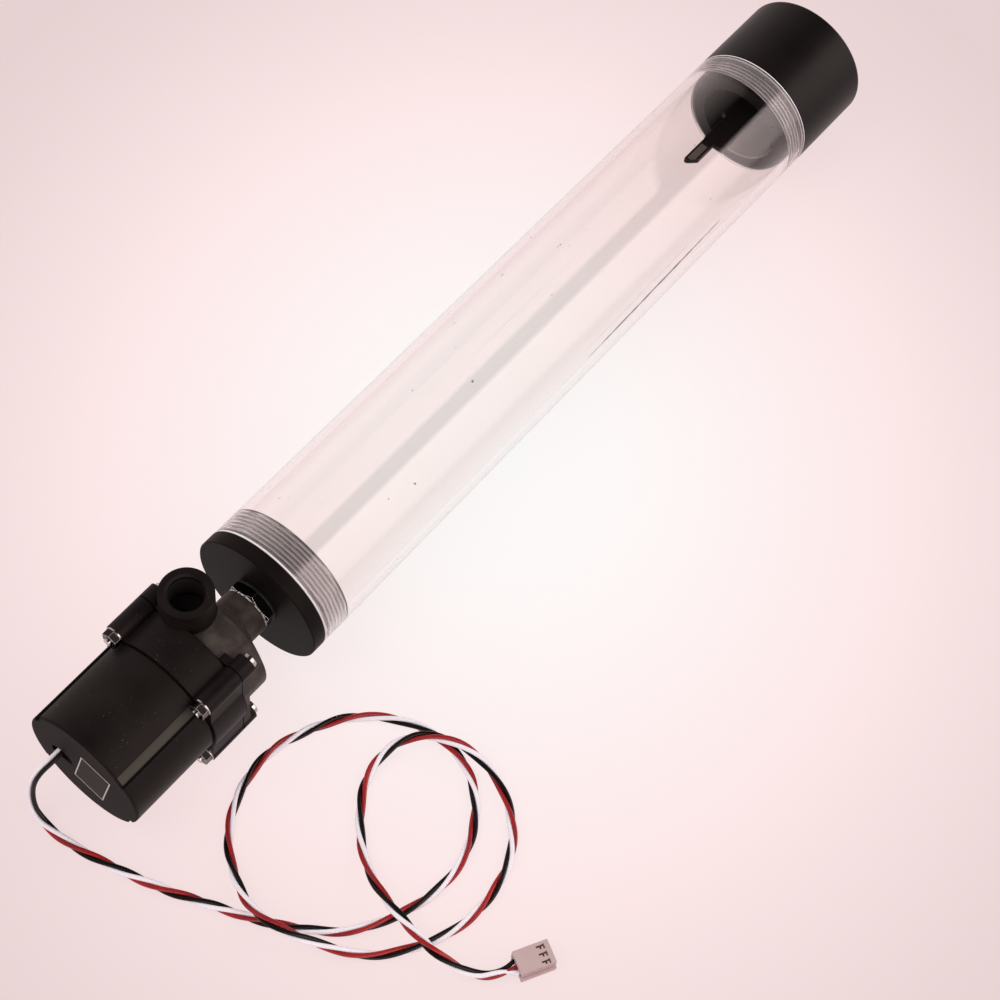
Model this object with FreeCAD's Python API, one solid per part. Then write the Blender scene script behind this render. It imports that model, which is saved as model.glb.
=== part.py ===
import FreeCAD, Part
import math
import os

# Coolant pump reservoir: a clear tube between two screwed caps, with a canned-rotor
# pump joined to the bottom cap by a threaded coupler.
# Millimetres. The assembly is laid out about the tube's axis, which is +X from the pump
# to the top cap, with x = 0 on the bottom cap's pump side. Each piece is then placed
# with the origin under the middle of the body, on the surface that it lies on.

V = FreeCAD.Vector
ORIGIN = V(0, 0, 0)
AXIS_X = V(1, 0, 0)
AXIS_Z = V(0, 0, 1)

# Clearances
SLIP = 0.05
LOOSE = 0.3
RUNNING = 0.03
THREAD_GAP = 0.15

# Reservoir tube and its threads
TUBE_R = 25.0
TUBE_WALL = 3.0
TUBE_LENGTH = 266.2
THREAD_PITCH = 1.5
THREAD_DEPTH = 0.7
THREAD_LEAD = 1.4
TUBE_TURNS = (7, 5)
ORING_SECTION = 1.2

# Bottom cap
BOTTOM_DISC = 5.2
BOTTOM_PLUG = 11.8
BOTTOM_TURNS = 6
BOTTOM_FLOOR = 9.0
CAP_RECESS_R = 15.0
CAP_EDGE = 0.4

# Top cap, its baffle and its two ports
TOP_LENGTH = 35.6
TOP_PLUG = 9.0
TOP_TURNS = 4
TOP_WALL = 14.0
TOP_ROUND = 1.8
PLUG_TIP_CHAMFER = 2.0
PORT_OFFSET = 8.8
BAFFLE_THICKNESS = 2.4
BAFFLE_ROOT = (-3.7, 6.7)
BAFFLE_WIDE = (-3.7, 4.7)
BAFFLE_TAB = (0.3, 4.5)
BAFFLE_DROP = 14.0
BAFFLE_TAB_LENGTH = 12.4
BAFFLE_BEVEL = 3.0
BAFFLE_SEAT = 1.0

# Quarter-inch pipe ports
PORT_R = 5.95
PORT_PITCH = 1.337
STUB_GAP = 0.07
STUB_DEPTH = 0.5
BORE_THROUGH_R = 4.2

# Fill plug
FILL_HEAD_R = 8.4
FILL_HEAD = 3.4
FILL_SHANK = 8.0
FILL_TURNS = 5
FILL_SLOT = (2.0, 1.4)
FILL_RING_R = 7.2

# Coupler and its two seals
CAP_SEAL = 0.56
HEX_LENGTH = 3.64
HEX_FLATS = 16.0
HEX_TURN = -10.0
HEX_CHAMFER = 0.6
PUMP_SEAL = 0.46
SEAL_R = 8.4
CAP_STUB = 8.5
PUMP_STUB = 8.3
STUB_TURNS = 5

# Volute cover
COVER_LENGTH = 25.44
NECK_R = 8.6
NECK_LENGTH = 7.64
SHOULDER_R = 9.5
CONE_DEPTH = 1.4
CONE_R = 12.0
DOME_DEPTH = 4.0
DOME_MID = (2.0, 16.5)
DRUM_R = 20.4
COVER_FLANGE = 3.3
PORT_DEPTH = 8.54
EYE_R = 5.0
CHAMBER_R = 16.0
CHAMBER_DEPTH = 7.6
HUB_R = 2.6
HUB_LENGTH = 4.0
HUB_GAP = 0.5
ARM_WIDTH = 1.2
LOBE_R = 6.0
LOBE_INSET = 5.9

# Outlet collar
OUTLET_R = 8.95
OUTLET_TOP = 31.0
OUTLET_SIDE = 7.0
OUTLET_BACK = 6.4
OUTLET_MOUTH_R = 6.8
OUTLET_DEPTH = 13.0
OUTLET_ROOT = 12.0
THROAT_R = 3.0

# Pump body
BODY_R = 23.4
BODY_LENGTH = 14.1
WEB_HALF = 21.6
BOSS_R = 3.7
BOSS_GAP = 0.2
BOSS_ANGLE = 46.2
BOSS_FRONT = 5.8
BOSS_STAND = 2.5
BODY_WEB = 2.6
SKIRT_LENGTH = 4.8
SKIRT_WALL = 1.65
HEAD_SEAL_R = 18.7
HEAD_SEAL_SECTION = 1.3

# Clamp screws, washers and nuts
SCREW_R = 1.45
SCREW_HOLE_R = 1.6
SCREW_HEAD_R = 2.75
SCREW_HEAD = 1.8
SCREW_LENGTH = 23.7
RECESS_R = 6.0
DRIVE_SLOT = (2.8, 0.6, 0.8)
WASHER = 0.5
WASHER_R = 3.4
NUT_FLATS = 5.5
NUT = 2.4

# Motor housing
HOUSING_R = 22.45
HOUSING_SIDE = 2.55
HOUSING_LENGTH = 34.66
HOUSING_WALL = 2.26
HOUSING_ROUND = 0.6
GROOVE_WIDTH = 4.3
GROOVE_DEPTH = 1.2
GROOVE_ANGLES = (47.0, 123.0, 227.0, 303.0)
BOARD_LEDGE = 2.0
BOARD_SPACE = 4.5

# Rating plate, cable opening and grommet, in the rear face
PLATE = (12.7, 22.0, 0.25)
PLATE_CENTRE = (-3.4, -1.1)
PLATE_TURN = 13.4
PLATE_POCKET = 0.3
SLOT_SIDES = (5.3, 13.7)
SLOT_BOTTOM = -3.6
SLOT_SHOULDER = -0.8
SLOT_CROWN = 1.9
GROMMET_RECESS = 1.0
GROMMET_LIP = 0.8
GROMMET_LIP_EDGE = 0.9

# Isolation can, rotor and shaft
CAN_FLANGE_R = 17.2
CAN_FLANGE = 1.8
CAN_SHARE = 0.472
CAN_WALL = 0.8
CAN_DEPTH = 36.9
CAN_END = 2.5
SHAFT_R = 1.5
SHAFT_SEAT = 1.6
THRUST = 0.5
THRUST_R = 2.5
END_PLAY = 0.1
BUSH_R = 2.15
BUSH_LENGTH = 4.4
IMPELLER_R = 13.0
IMPELLER_GAP = 0.5
IMPELLER_LENGTH = 6.0
SHROUD = 1.0
IMPELLER_EYE_R = 6.0
IMPELLER_HUB_R = 3.4
BLADES = 6
BLADE_THICKNESS = 1.0
BLADE_ARC_R = 6.5
BLADE_ARC_CENTRE = 8.0
SLEEVE_R = 5.15
MAGNET_GAP = 0.6
MAGNET_LENGTH = 16.0

# Stator
POLES = 6
CORE_LENGTH = 16.0
CORE_GAP = 0.1
CORE_RIM = 3.0
CORE_CLEAR = 0.6
TOOTH_WIDTH = 4.0
SHOE = 1.2
SHOE_WIDTH = 8.0
BOBBIN = 0.7
COIL = 1.8

# Driver board and its parts
BOARD = 1.6
BOARD_GAP = 0.2
CHIP = (5.0, 4.0, 1.75)
CHIP_PLACE = (-7.0, 3.0)
CAPACITOR = (2.0, 3.6)
CAPACITOR_PLACES = ((-6.0, -6.5), (0.5, -9.0))
SENSOR = (4.0, 3.0, 1.2)
SENSOR_PLACE = (0.0, 12.5)
TAIL_R = 0.65
TAIL_PITCH = 2.0

# Lead, with its route in the placed frame: out of the grommet, down to the surface,
# twice round a loose loop, and over itself to the connector
LEAD_R = 1.5
LEAD_PLACE = (10.4, -2.0)
LEAD_START_RUN = 4.77
LEAD_RUNS = (
    (-200.9, 11.7, 20.8), (-203.8, 13.0, 16.4), (-205.7, 13.2, 11.1),
    (-207.3, 11.6, 6.0), (-208.5, 7.4, 2.4), (-208.7, 1.6, 1.5), (-208.0, -6.0, 1.5),
    (-204.5, -21.0, 1.5), (-199.5, -38.0, 1.5), (-193.5, -52.5, 1.5), (-188.5, -65.5, 1.5),
    (-181.5, -78.5, 1.5), (-173.0, -90.5, 1.5), (-160.5, -98.0, 1.5), (-146.5, -103.0, 1.5),
    (-131.5, -103.5, 1.5), (-115.5, -96.5, 1.5), (-105.0, -84.5, 1.5), (-102.5, -69.0, 1.5),
    (-107.0, -55.0, 1.5), (-116.5, -43.0, 1.5), (-130.0, -35.5, 1.5), (-145.0, -31.0, 1.5),
    (-162.0, -34.0, 1.5), (-175.5, -42.5, 1.5), (-184.0, -55.0, 4.0), (-188.0, -65.0, 7.5),
    (-186.5, -77.0, 7.5), (-181.5, -87.5, 4.0), (-175.0, -100.0, 1.5), (-163.5, -109.5, 1.5),
    (-150.0, -116.0, 1.5), (-135.0, -117.5, 1.5), (-119.0, -114.0, 1.5), (-107.5, -104.0, 1.5),
    (-101.5, -91.5, 4.0), (-102.0, -78.0, 7.5), (-108.0, -66.0, 7.5), (-117.5, -60.0, 4.0),
    (-130.5, -61.0, 1.5), (-143.5, -70.0, 1.5), (-153.0, -81.0, 4.5), (-158.5, -93.5, 7.5),
    (-161.5, -114.5, 7.5), (-159.5, -124.0, 4.0), (-156.9, -131.0, 2.9),
)
LEAD_END_RUN = 5.8
BEND_SHARE = 0.45

# Connector on the end of the lead, lying on the surface
PLUG_REAR = (-147.0, -137.9)
PLUG_HEADING = -28.5
PLUG_SIZE = (11.8, 8.6, 5.8)
PLUG_LEDGE = (0.7, 2.2)
POCKET = 1.9
POCKET_PITCH = 2.54
TERMINAL = (1.6, 8.0, 0.4)
LATCH = (2.8, 0.6, 1.3)
LATCH_BACK = 1.6

# Radii that follow others
TUBE_BORE_R = TUBE_R - TUBE_WALL
PLUG_R = TUBE_BORE_R - THREAD_GAP
STUB_R = PORT_R - STUB_GAP
GLAND = ORING_SECTION + 2 * SLIP
BOSS_CIRCLE = HOUSING_R + BOSS_GAP + NUT_FLATS / 2
LOBE_CIRCLE = BOSS_CIRCLE - LOBE_INSET
HOUSING_BORE_R = HOUSING_R - HOUSING_SIDE
SKIRT_R = HOUSING_BORE_R - SLIP
BOARD_LEDGE_R = HOUSING_BORE_R - BOARD_LEDGE
CAN_R = CAN_SHARE * HOUSING_BORE_R
CAN_BORE_R = CAN_R - CAN_WALL
MAGNET_R = CAN_BORE_R - MAGNET_GAP
CORE_BORE_R = CAN_R + CORE_CLEAR

# Stations along the axis
TUBE_X0 = BOTTOM_DISC
TUBE_X1 = TUBE_X0 + TUBE_LENGTH
TOP_X = TUBE_X1 + TOP_LENGTH
HEX_X1 = -CAP_SEAL
HEX_X0 = HEX_X1 - HEX_LENGTH
NECK_X = HEX_X0 - PUMP_SEAL
SEAM_X = NECK_X - COVER_LENGTH
BODY_X = SEAM_X - BODY_LENGTH
REAR_X = BODY_X - HOUSING_LENGTH
FLOOR_X = REAR_X + HOUSING_WALL
LEDGE_X = FLOOR_X + BOARD_SPACE
CORE_X1 = BODY_X - SKIRT_LENGTH
CORE_X0 = CORE_X1 - CORE_LENGTH
CHAMBER_X = SEAM_X + CHAMBER_DEPTH
HUB_X = CHAMBER_X + HUB_GAP
CAN_X = SEAM_X - CAN_DEPTH
ROTOR_X1 = HUB_X - THRUST - END_PLAY
ROTOR_X0 = CAN_X + THRUST + END_PLAY
IMPELLER_X1 = CHAMBER_X - IMPELLER_GAP
IMPELLER_X0 = IMPELLER_X1 - IMPELLER_LENGTH
BOSS_X = SEAM_X + BOSS_FRONT
RECESS_X = BOSS_X - BOSS_STAND
GROMMET_X = REAR_X + GROMMET_RECESS
MIDDLE_X = (REAR_X + TOP_X) / 2
ROUND_MID = 1 - math.sqrt(0.5)


def turned(outline):
    # Solid of revolution about X. A corner is (x, r). A corner of four numbers is reached
    # by an arc through its last two.
    edges = []
    for a, b in zip(outline, outline[1:] + outline[:1]):
        start = V(a[0], 0, a[1])
        end = V(b[0], 0, b[1])
        if len(b) == 4:
            edges.append(Part.Arc(start, V(b[2], 0, b[3]), end).toShape())
        else:
            edges.append(Part.LineSegment(start, end).toShape())
    return Part.Face(Part.Wire(edges)).revolve(ORIGIN, AXIS_X, 360)


def rod(x0, x1, radius, y=0.0, z=0.0):
    return Part.makeCylinder(radius, x1 - x0, V(x0, y, z), AXIS_X)


def ring(x0, x1, outer, inner, y=0.0, z=0.0):
    return rod(x0, x1, outer, y, z).cut(rod(x0, x1, inner, y, z))


def block(x, y, z):
    # Box between the two ends given for each axis
    return Part.makeBox(x[1] - x[0], y[1] - y[0], z[1] - z[0], V(x[0], y[0], z[0]))


def post(z0, z1, radius, x, y):
    return Part.makeCylinder(radius, z1 - z0, V(x, y, z0), AXIS_Z)


def hexagon(x0, x1, flats, turn=0.0, y=0.0, z=0.0):
    # Hexagonal prism along X, with a corner at the angle turn from +Z
    corner = flats / math.sqrt(3)
    points = []
    for i in range(7):
        angle = math.radians(turn + 60 * i)
        points.append(V(x0, y + corner * math.sin(angle), z + corner * math.cos(angle)))
    return Part.Face(Part.makePolygon(points)).extrude(V(x1 - x0, 0, 0))


def around(shape, count, first=0.0):
    # Copies of a shape, evenly spaced about X
    copies = []
    for i in range(count):
        copy = shape.copy()
        copy.rotate(ORIGIN, AXIS_X, first + 360.0 * i / count)
        copies.append(copy)
    return copies


def grooves(x0, turns, pitch, radius, depth):
    # Outline of ring grooves from x0 on. A positive depth cuts outward, into a bore.
    points = []
    for i in range(turns):
        x = x0 + i * pitch
        points.append((x + 0.1 * pitch, radius))
        points.append((x + 0.5 * pitch, radius + depth))
        points.append((x + 0.9 * pitch, radius))
    return points


def mirrored(points, x_sum):
    return [(x_sum - x, r) for x, r in reversed(points)]


def round_ring(x, radius, section):
    # O-ring about X, centred on the given radius
    return Part.makeTorus(radius, section / 2, V(x, 0, 0), AXIS_X)


def bolt_places(radius=BOSS_CIRCLE):
    # Four places about X, each at the same angle from the upright
    side = radius * math.sin(math.radians(BOSS_ANGLE))
    rise = radius * math.cos(math.radians(BOSS_ANGLE))
    return [(y, z) for y in (-side, side) for z in (-rise, rise)]


def fused(shapes):
    return shapes[0].multiFuse(shapes[1:]).removeSplitter()


def save(name, shapes, placed=False):
    # Writes one node: one solid, or a group of separate solids
    shape = shapes[0] if len(shapes) == 1 else Part.makeCompound(shapes)
    if not placed:
        shape = shape.copy()
        shape.translate(V(-MIDDLE_X, 0, TUBE_R))
    for solid in shape.Solids:
        if not solid.isValid() or solid.Volume <= 0:
            raise ValueError(name + " has a bad solid")
    print("%-20s %3d solids %12.2f mm3" % (name, len(shape.Solids), shape.Volume))
    shape.exportStep("parts/" + name + ".step")


def reservoir_tube():
    start = TUBE_X0 + THREAD_LEAD
    left = grooves(start, TUBE_TURNS[0], THREAD_PITCH, TUBE_BORE_R, THREAD_DEPTH)
    right = grooves(start, TUBE_TURNS[1], THREAD_PITCH, TUBE_BORE_R, THREAD_DEPTH)
    right = mirrored(right, TUBE_X0 + TUBE_X1)
    bore = [(TUBE_X0, TUBE_BORE_R + CAP_EDGE), (TUBE_X0 + CAP_EDGE, TUBE_BORE_R)] + left
    bore += right + [(TUBE_X1 - CAP_EDGE, TUBE_BORE_R), (TUBE_X1, TUBE_BORE_R + CAP_EDGE)]
    return turned(bore + [(TUBE_X1, TUBE_R), (TUBE_X0, TUBE_R)])


def plug_outline(tip, turns, chamfer):
    # Threaded plug of a cap, from the cap's shoulder at x = 0 to its tip, with the
    # O-ring's gland beside the shoulder
    gland_r = PLUG_R - ORING_SECTION - SLIP
    points = [(0, gland_r), (GLAND, gland_r), (GLAND, PLUG_R)]
    points += grooves(THREAD_LEAD, turns, THREAD_PITCH, PLUG_R, -THREAD_DEPTH)
    points += [(tip - chamfer / 2, PLUG_R), (tip, PLUG_R - chamfer)]
    return points


def cap_oring(x):
    return round_ring(x, PLUG_R - ORING_SECTION / 2, ORING_SECTION)


def bottom_cap():
    plug = [(TUBE_X0 + x, r) for x, r in plug_outline(BOTTOM_PLUG, BOTTOM_TURNS, CAP_EDGE)]
    outline = [(0, PORT_R), (0, TUBE_R - CAP_EDGE), (CAP_EDGE, TUBE_R), (TUBE_X0, TUBE_R)]
    outline += plug + [
        (TUBE_X0 + BOTTOM_PLUG, CAP_RECESS_R),
        (BOTTOM_FLOOR, CAP_RECESS_R),
        (BOTTOM_FLOOR, PORT_R),
    ]
    return turned(outline)


def baffle_outline():
    # Corners in X and Y, from the recess floor down past the plug to the tab's tip
    wide_x = TUBE_X1 - TOP_PLUG - BAFFLE_DROP
    tab_x = wide_x - BAFFLE_TAB_LENGTH
    seat_x = TOP_X - TOP_WALL + BAFFLE_SEAT
    root_x = TUBE_X1 - TOP_PLUG
    return [
        (seat_x, BAFFLE_ROOT[0]),
        (seat_x, BAFFLE_ROOT[1]),
        (root_x, BAFFLE_ROOT[1]),
        (root_x - CAP_EDGE, BAFFLE_WIDE[1]),
        (wide_x, BAFFLE_WIDE[1]),
        (wide_x - CAP_EDGE, BAFFLE_TAB[1]),
        (tab_x, BAFFLE_TAB[1]),
        (tab_x, BAFFLE_TAB[1] - BAFFLE_THICKNESS / 2),
        (tab_x + BAFFLE_BEVEL, BAFFLE_TAB[0]),
        (wide_x, BAFFLE_TAB[0]),
        (wide_x, BAFFLE_WIDE[0]),
        (root_x, BAFFLE_WIDE[0]),
    ]


def flow_baffle():
    corners = [V(x, y, -BAFFLE_THICKNESS / 2) for x, y in baffle_outline()]
    face = Part.Face(Part.makePolygon(corners + corners[:1]))
    return face.extrude(V(0, 0, BAFFLE_THICKNESS))


def top_cap():
    plug = [(TUBE_X1 - x, r) for x, r in plug_outline(TOP_PLUG, TOP_TURNS, PLUG_TIP_CHAMFER)]
    floor_x = TOP_X - TOP_WALL
    outline = [
        (floor_x, 0),
        (floor_x, CAP_RECESS_R),
        (TUBE_X1 - TOP_PLUG, CAP_RECESS_R),
    ]
    outline += list(reversed(plug))
    bend = TOP_ROUND * ROUND_MID
    outline += [
        (TUBE_X1, TUBE_R),
        (TOP_X - TOP_ROUND, TUBE_R),
        (TOP_X, TUBE_R - TOP_ROUND, TOP_X - bend, TUBE_R - bend),
        (TOP_X, 0),
    ]
    cap = turned(outline)
    seat = block(
        (floor_x - SLIP, floor_x + BAFFLE_SEAT),
        (BAFFLE_ROOT[0] - SLIP, BAFFLE_ROOT[1] + SLIP),
        (-BAFFLE_THICKNESS / 2 - SLIP, BAFFLE_THICKNESS / 2 + SLIP),
    )
    cuts = [seat]
    for z in (-PORT_OFFSET, PORT_OFFSET):
        cuts.append(rod(floor_x - 1, TOP_X + 1, PORT_R, z=z))
    head_r = FILL_HEAD_R + 2 * SLIP
    cuts.append(rod(TOP_X - FILL_HEAD, TOP_X + 1, head_r, z=PORT_OFFSET))
    return cap.cut(cuts)


def fill_plug():
    seat_x = TOP_X - FILL_HEAD
    tip_x = seat_x - FILL_SHANK
    outline = [
        (TOP_X, 0),
        (TOP_X, FILL_HEAD_R - CAP_EDGE),
        (TOP_X - CAP_EDGE, FILL_HEAD_R),
        (seat_x, FILL_HEAD_R),
        (seat_x, FILL_RING_R + GLAND / 2),
        (seat_x + GLAND, FILL_RING_R + GLAND / 2),
        (seat_x + GLAND, FILL_RING_R - GLAND / 2),
        (seat_x, FILL_RING_R - GLAND / 2),
        (seat_x, STUB_R),
    ]
    teeth = grooves(tip_x + PORT_PITCH / 2, FILL_TURNS, PORT_PITCH, STUB_R, -STUB_DEPTH)
    outline += list(reversed(teeth)) + [(tip_x, STUB_R - STUB_DEPTH), (tip_x, 0)]
    plug = turned(outline)
    width, depth = FILL_SLOT
    slot = block((TOP_X - depth, TOP_X + 1), (-FILL_HEAD_R, FILL_HEAD_R), (-width / 2, width / 2))
    plug = plug.cut(slot)
    plug.translate(V(0, 0, PORT_OFFSET))
    return plug


def fill_plug_oring():
    seal = round_ring(TOP_X - FILL_HEAD + ORING_SECTION / 2 + SLIP, FILL_RING_R, ORING_SECTION)
    seal.translate(V(0, 0, PORT_OFFSET))
    return seal


def pump_coupler():
    corner = HEX_FLATS / math.sqrt(3)
    flat = HEX_FLATS / 2
    barrel = turned([
        (HEX_X0, 0),
        (HEX_X0, flat),
        (HEX_X0 + HEX_CHAMFER, corner),
        (HEX_X1 - HEX_CHAMFER, corner),
        (HEX_X1, flat),
        (HEX_X1, 0),
    ])
    nut = hexagon(HEX_X0, HEX_X1, HEX_FLATS, HEX_TURN).common(barrel)
    tip = HEX_X1 + CAP_STUB + CAP_SEAL
    foot = HEX_X0 - PUMP_STUB
    cap_teeth = grooves(tip - (STUB_TURNS + 0.5) * PORT_PITCH, STUB_TURNS, PORT_PITCH, STUB_R, -STUB_DEPTH)
    foot_teeth = grooves(foot + PORT_PITCH / 2, STUB_TURNS, PORT_PITCH, STUB_R, -STUB_DEPTH)
    outline = [(foot, BORE_THROUGH_R), (foot, STUB_R - STUB_DEPTH)] + foot_teeth
    outline += cap_teeth + [(tip, STUB_R - STUB_DEPTH), (tip, BORE_THROUGH_R)]
    stubs = turned(outline)
    return fused([nut, stubs]).cut(rod(foot - 1, tip + 1, BORE_THROUGH_R))


def bossed_slab(x0, x1, radius):
    # Slab of the pump's own outline: a disc with flat webs and a boss at each corner
    rise = bolt_places()[3][1]
    webs = block((x0, x1), (-WEB_HALF, WEB_HALF), (-rise, rise))
    bosses = [rod(x0, x1, BOSS_R, y, z) for y, z in bolt_places()]
    return fused([rod(x0, x1, radius), webs] + bosses)


def boss_lobes():
    # Material between the bosses and the drum of the volute
    return [rod(SEAM_X, RECESS_X, LOBE_R, y, z) for y, z in bolt_places(LOBE_CIRCLE)]


def outlet_axis_x():
    return SEAM_X + OUTLET_BACK


def outlet_collar():
    # Upright collar, cut clear of the pump body behind the seam
    collar = post(OUTLET_ROOT, OUTLET_TOP, OUTLET_R, outlet_axis_x(), OUTLET_SIDE)
    return collar.cut(rod(SEAM_X - 2 * OUTLET_R, SEAM_X, BODY_R + LOOSE))


def outlet_bore():
    x = outlet_axis_x()
    bore = post(OUTLET_TOP - OUTLET_DEPTH, OUTLET_TOP + 1, PORT_R, x, OUTLET_SIDE)
    rise = OUTLET_MOUTH_R - PORT_R
    place = V(x, OUTLET_SIDE, OUTLET_TOP - rise)
    mouth = Part.makeCone(PORT_R, OUTLET_MOUTH_R, rise, place, AXIS_Z)
    throat_x = (SEAM_X + CHAMBER_X) / 2
    throat = post(OUTLET_ROOT - 1, OUTLET_TOP - OUTLET_DEPTH + 1, THROAT_R, throat_x, OUTLET_SIDE)
    return [bore, mouth, throat]


def volute_cover():
    shoulder_x = NECK_X - NECK_LENGTH
    cone_x = shoulder_x - CONE_DEPTH
    drum_x = cone_x - DOME_DEPTH
    cover = turned([
        (NECK_X, 0),
        (NECK_X, NECK_R - CAP_EDGE),
        (NECK_X - CAP_EDGE, NECK_R),
        (shoulder_x, NECK_R),
        (shoulder_x, SHOULDER_R),
        (cone_x, CONE_R),
        (drum_x, DRUM_R, cone_x - DOME_MID[0], DOME_MID[1]),
        (SEAM_X, DRUM_R),
        (SEAM_X, 0),
    ])
    recesses = [rod(RECESS_X, NECK_X, RECESS_R, y, z) for y, z in bolt_places()]
    cover = cover.cut(recesses)
    flange = bossed_slab(SEAM_X, SEAM_X + COVER_FLANGE, DRUM_R)
    bosses = [rod(SEAM_X, BOSS_X, BOSS_R, y, z) for y, z in bolt_places()]
    cover = fused([cover, flange] + boss_lobes() + bosses + [outlet_collar()])
    hollows = [
        rod(NECK_X - PORT_DEPTH, NECK_X + 1, PORT_R),
        rod(CHAMBER_X - 1, NECK_X, EYE_R),
        rod(SEAM_X - 1, CHAMBER_X, CHAMBER_R),
    ]
    for y, z in bolt_places():
        hollows.append(rod(SEAM_X - 1, BOSS_X + 1, SCREW_HOLE_R, y, z))
        hollows.append(rod(BOSS_X, NECK_X, SCREW_HEAD_R + LOOSE, y, z))
    cover = cover.cut(hollows + outlet_bore())
    spider_x = (HUB_X, HUB_X + HUB_LENGTH)
    arm = block(spider_x, (-ARM_WIDTH / 2, ARM_WIDTH / 2), (0, EYE_R + 1))
    spider = [rod(HUB_X, HUB_X + HUB_LENGTH, HUB_R)] + around(arm, 3)
    cover = fused([cover] + spider)
    return cover.cut(rod(HUB_X - 1, HUB_X + SHAFT_SEAT, SHAFT_R))


def pump_body():
    skirt = rod(CORE_X1, BODY_X, SKIRT_R)
    body = fused([bossed_slab(BODY_X, SEAM_X, BODY_R), skirt])
    seat_x = SEAM_X - CAN_FLANGE
    gland = HEAD_SEAL_SECTION + 2 * SLIP
    cuts = [
        rod(seat_x, SEAM_X + 1, CAN_FLANGE_R + 2 * SLIP),
        rod(CORE_X1 - 1, SEAM_X, CAN_R + LOOSE),
        rod(CORE_X1 - 1, seat_x - BODY_WEB, SKIRT_R - SKIRT_WALL),
        ring(SEAM_X - gland, SEAM_X + 1, HEAD_SEAL_R + gland / 2, HEAD_SEAL_R - gland / 2),
    ]
    cuts += [rod(BODY_X - 1, SEAM_X + 1, SCREW_HOLE_R, y, z) for y, z in bolt_places()]
    return body.cut(cuts)


def head_seal():
    return round_ring(SEAM_X - HEAD_SEAL_SECTION / 2 - SLIP, HEAD_SEAL_R, HEAD_SEAL_SECTION)


def isolation_can():
    can = turned([
        (SEAM_X, CAN_BORE_R),
        (SEAM_X, CAN_FLANGE_R),
        (SEAM_X - CAN_FLANGE, CAN_FLANGE_R),
        (SEAM_X - CAN_FLANGE, CAN_R),
        (CAN_X - CAN_END, CAN_R),
        (CAN_X - CAN_END, 0),
        (CAN_X, 0),
        (CAN_X, CAN_BORE_R),
    ])
    return can.cut(rod(CAN_X - SHAFT_SEAT, CAN_X + 1, SHAFT_R))


def slot_face(x, edge):
    # D-shaped cable opening in the plane of x, grown by edge all round
    left = SLOT_SIDES[0] - edge
    right = SLOT_SIDES[1] + edge
    bottom = SLOT_BOTTOM - edge
    shoulder = SLOT_SHOULDER
    crown = V(x, (left + right) / 2, SLOT_CROWN + edge)
    edges = [
        Part.LineSegment(V(x, left, shoulder), V(x, left, bottom)).toShape(),
        Part.LineSegment(V(x, left, bottom), V(x, right, bottom)).toShape(),
        Part.LineSegment(V(x, right, bottom), V(x, right, shoulder)).toShape(),
        Part.Arc(V(x, right, shoulder), crown, V(x, left, shoulder)).toShape(),
    ]
    return Part.Face(Part.Wire(edges))


def slot_prism(x0, x1, edge):
    return slot_face(x0, edge).extrude(V(x1 - x0, 0, 0))


def rating_plate(depth, edge=0.0):
    # Bare plate on the rear face, from that face inward
    width = PLATE[0] + 2 * edge
    height = PLATE[1] + 2 * edge
    plate = block((REAR_X, REAR_X + depth), (-width / 2, width / 2), (-height / 2, height / 2))
    plate.rotate(ORIGIN, AXIS_X, PLATE_TURN)
    plate.translate(V(0, PLATE_CENTRE[0], PLATE_CENTRE[1]))
    return plate


def motor_housing():
    bend = HOUSING_ROUND * ROUND_MID
    shell = turned([
        (REAR_X, 0),
        (FLOOR_X, 0),
        (FLOOR_X, BOARD_LEDGE_R),
        (LEDGE_X, BOARD_LEDGE_R),
        (LEDGE_X, HOUSING_BORE_R),
        (BODY_X, HOUSING_BORE_R),
        (BODY_X, HOUSING_R - HOUSING_ROUND),
        (BODY_X - HOUSING_ROUND, HOUSING_R),
        (REAR_X + HOUSING_ROUND, HOUSING_R),
        (REAR_X, HOUSING_R - HOUSING_ROUND, REAR_X + bend, HOUSING_R - bend),
    ])
    floor = HOUSING_R - GROOVE_DEPTH
    groove = block(
        (REAR_X - 1, BODY_X + 1),
        (-GROOVE_WIDTH / 2, GROOVE_WIDTH / 2),
        (floor, HOUSING_R + 1),
    )
    cuts = [around(groove, 1, angle)[0] for angle in GROOVE_ANGLES]
    cuts += [slot_prism(REAR_X - 1, FLOOR_X + 1, 0), rating_plate(PLATE_POCKET, SLIP)]
    nut_x = BODY_X - WASHER - NUT - LOOSE
    cuts += [rod(nut_x, BODY_X + 1, WASHER_R + 2 * SLIP, y, z) for y, z in bolt_places()]
    return shell.cut(cuts)


def cable_grommet():
    core = slot_prism(GROMMET_X, FLOOR_X, -SLIP)
    lip = slot_prism(FLOOR_X, FLOOR_X + GROMMET_LIP, GROMMET_LIP_EDGE)
    return fused([core, lip])


def impeller():
    eye = ring(IMPELLER_X1 - SHROUD, IMPELLER_X1, IMPELLER_R, IMPELLER_EYE_R)
    back = ring(IMPELLER_X0, IMPELLER_X0 + SHROUD, IMPELLER_R, BUSH_R + SLIP)
    hub = ring(IMPELLER_X0, ROTOR_X1, IMPELLER_HUB_R, BUSH_R + SLIP)
    half = BLADE_THICKNESS / 2
    arc = ring(IMPELLER_X0, IMPELLER_X1, BLADE_ARC_R + half, BLADE_ARC_R - half, BLADE_ARC_CENTRE)
    arc = arc.common(ring(IMPELLER_X0, IMPELLER_X1, IMPELLER_R - half, IMPELLER_HUB_R + half))
    blade = arc.common(block((IMPELLER_X0, IMPELLER_X1), (0, 2 * IMPELLER_R), (0, 2 * IMPELLER_R)))
    return fused([eye, back, hub] + around(blade, BLADES))


def rotor_sleeve():
    return ring(ROTOR_X0, IMPELLER_X0, SLEEVE_R, BUSH_R + SLIP)


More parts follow.
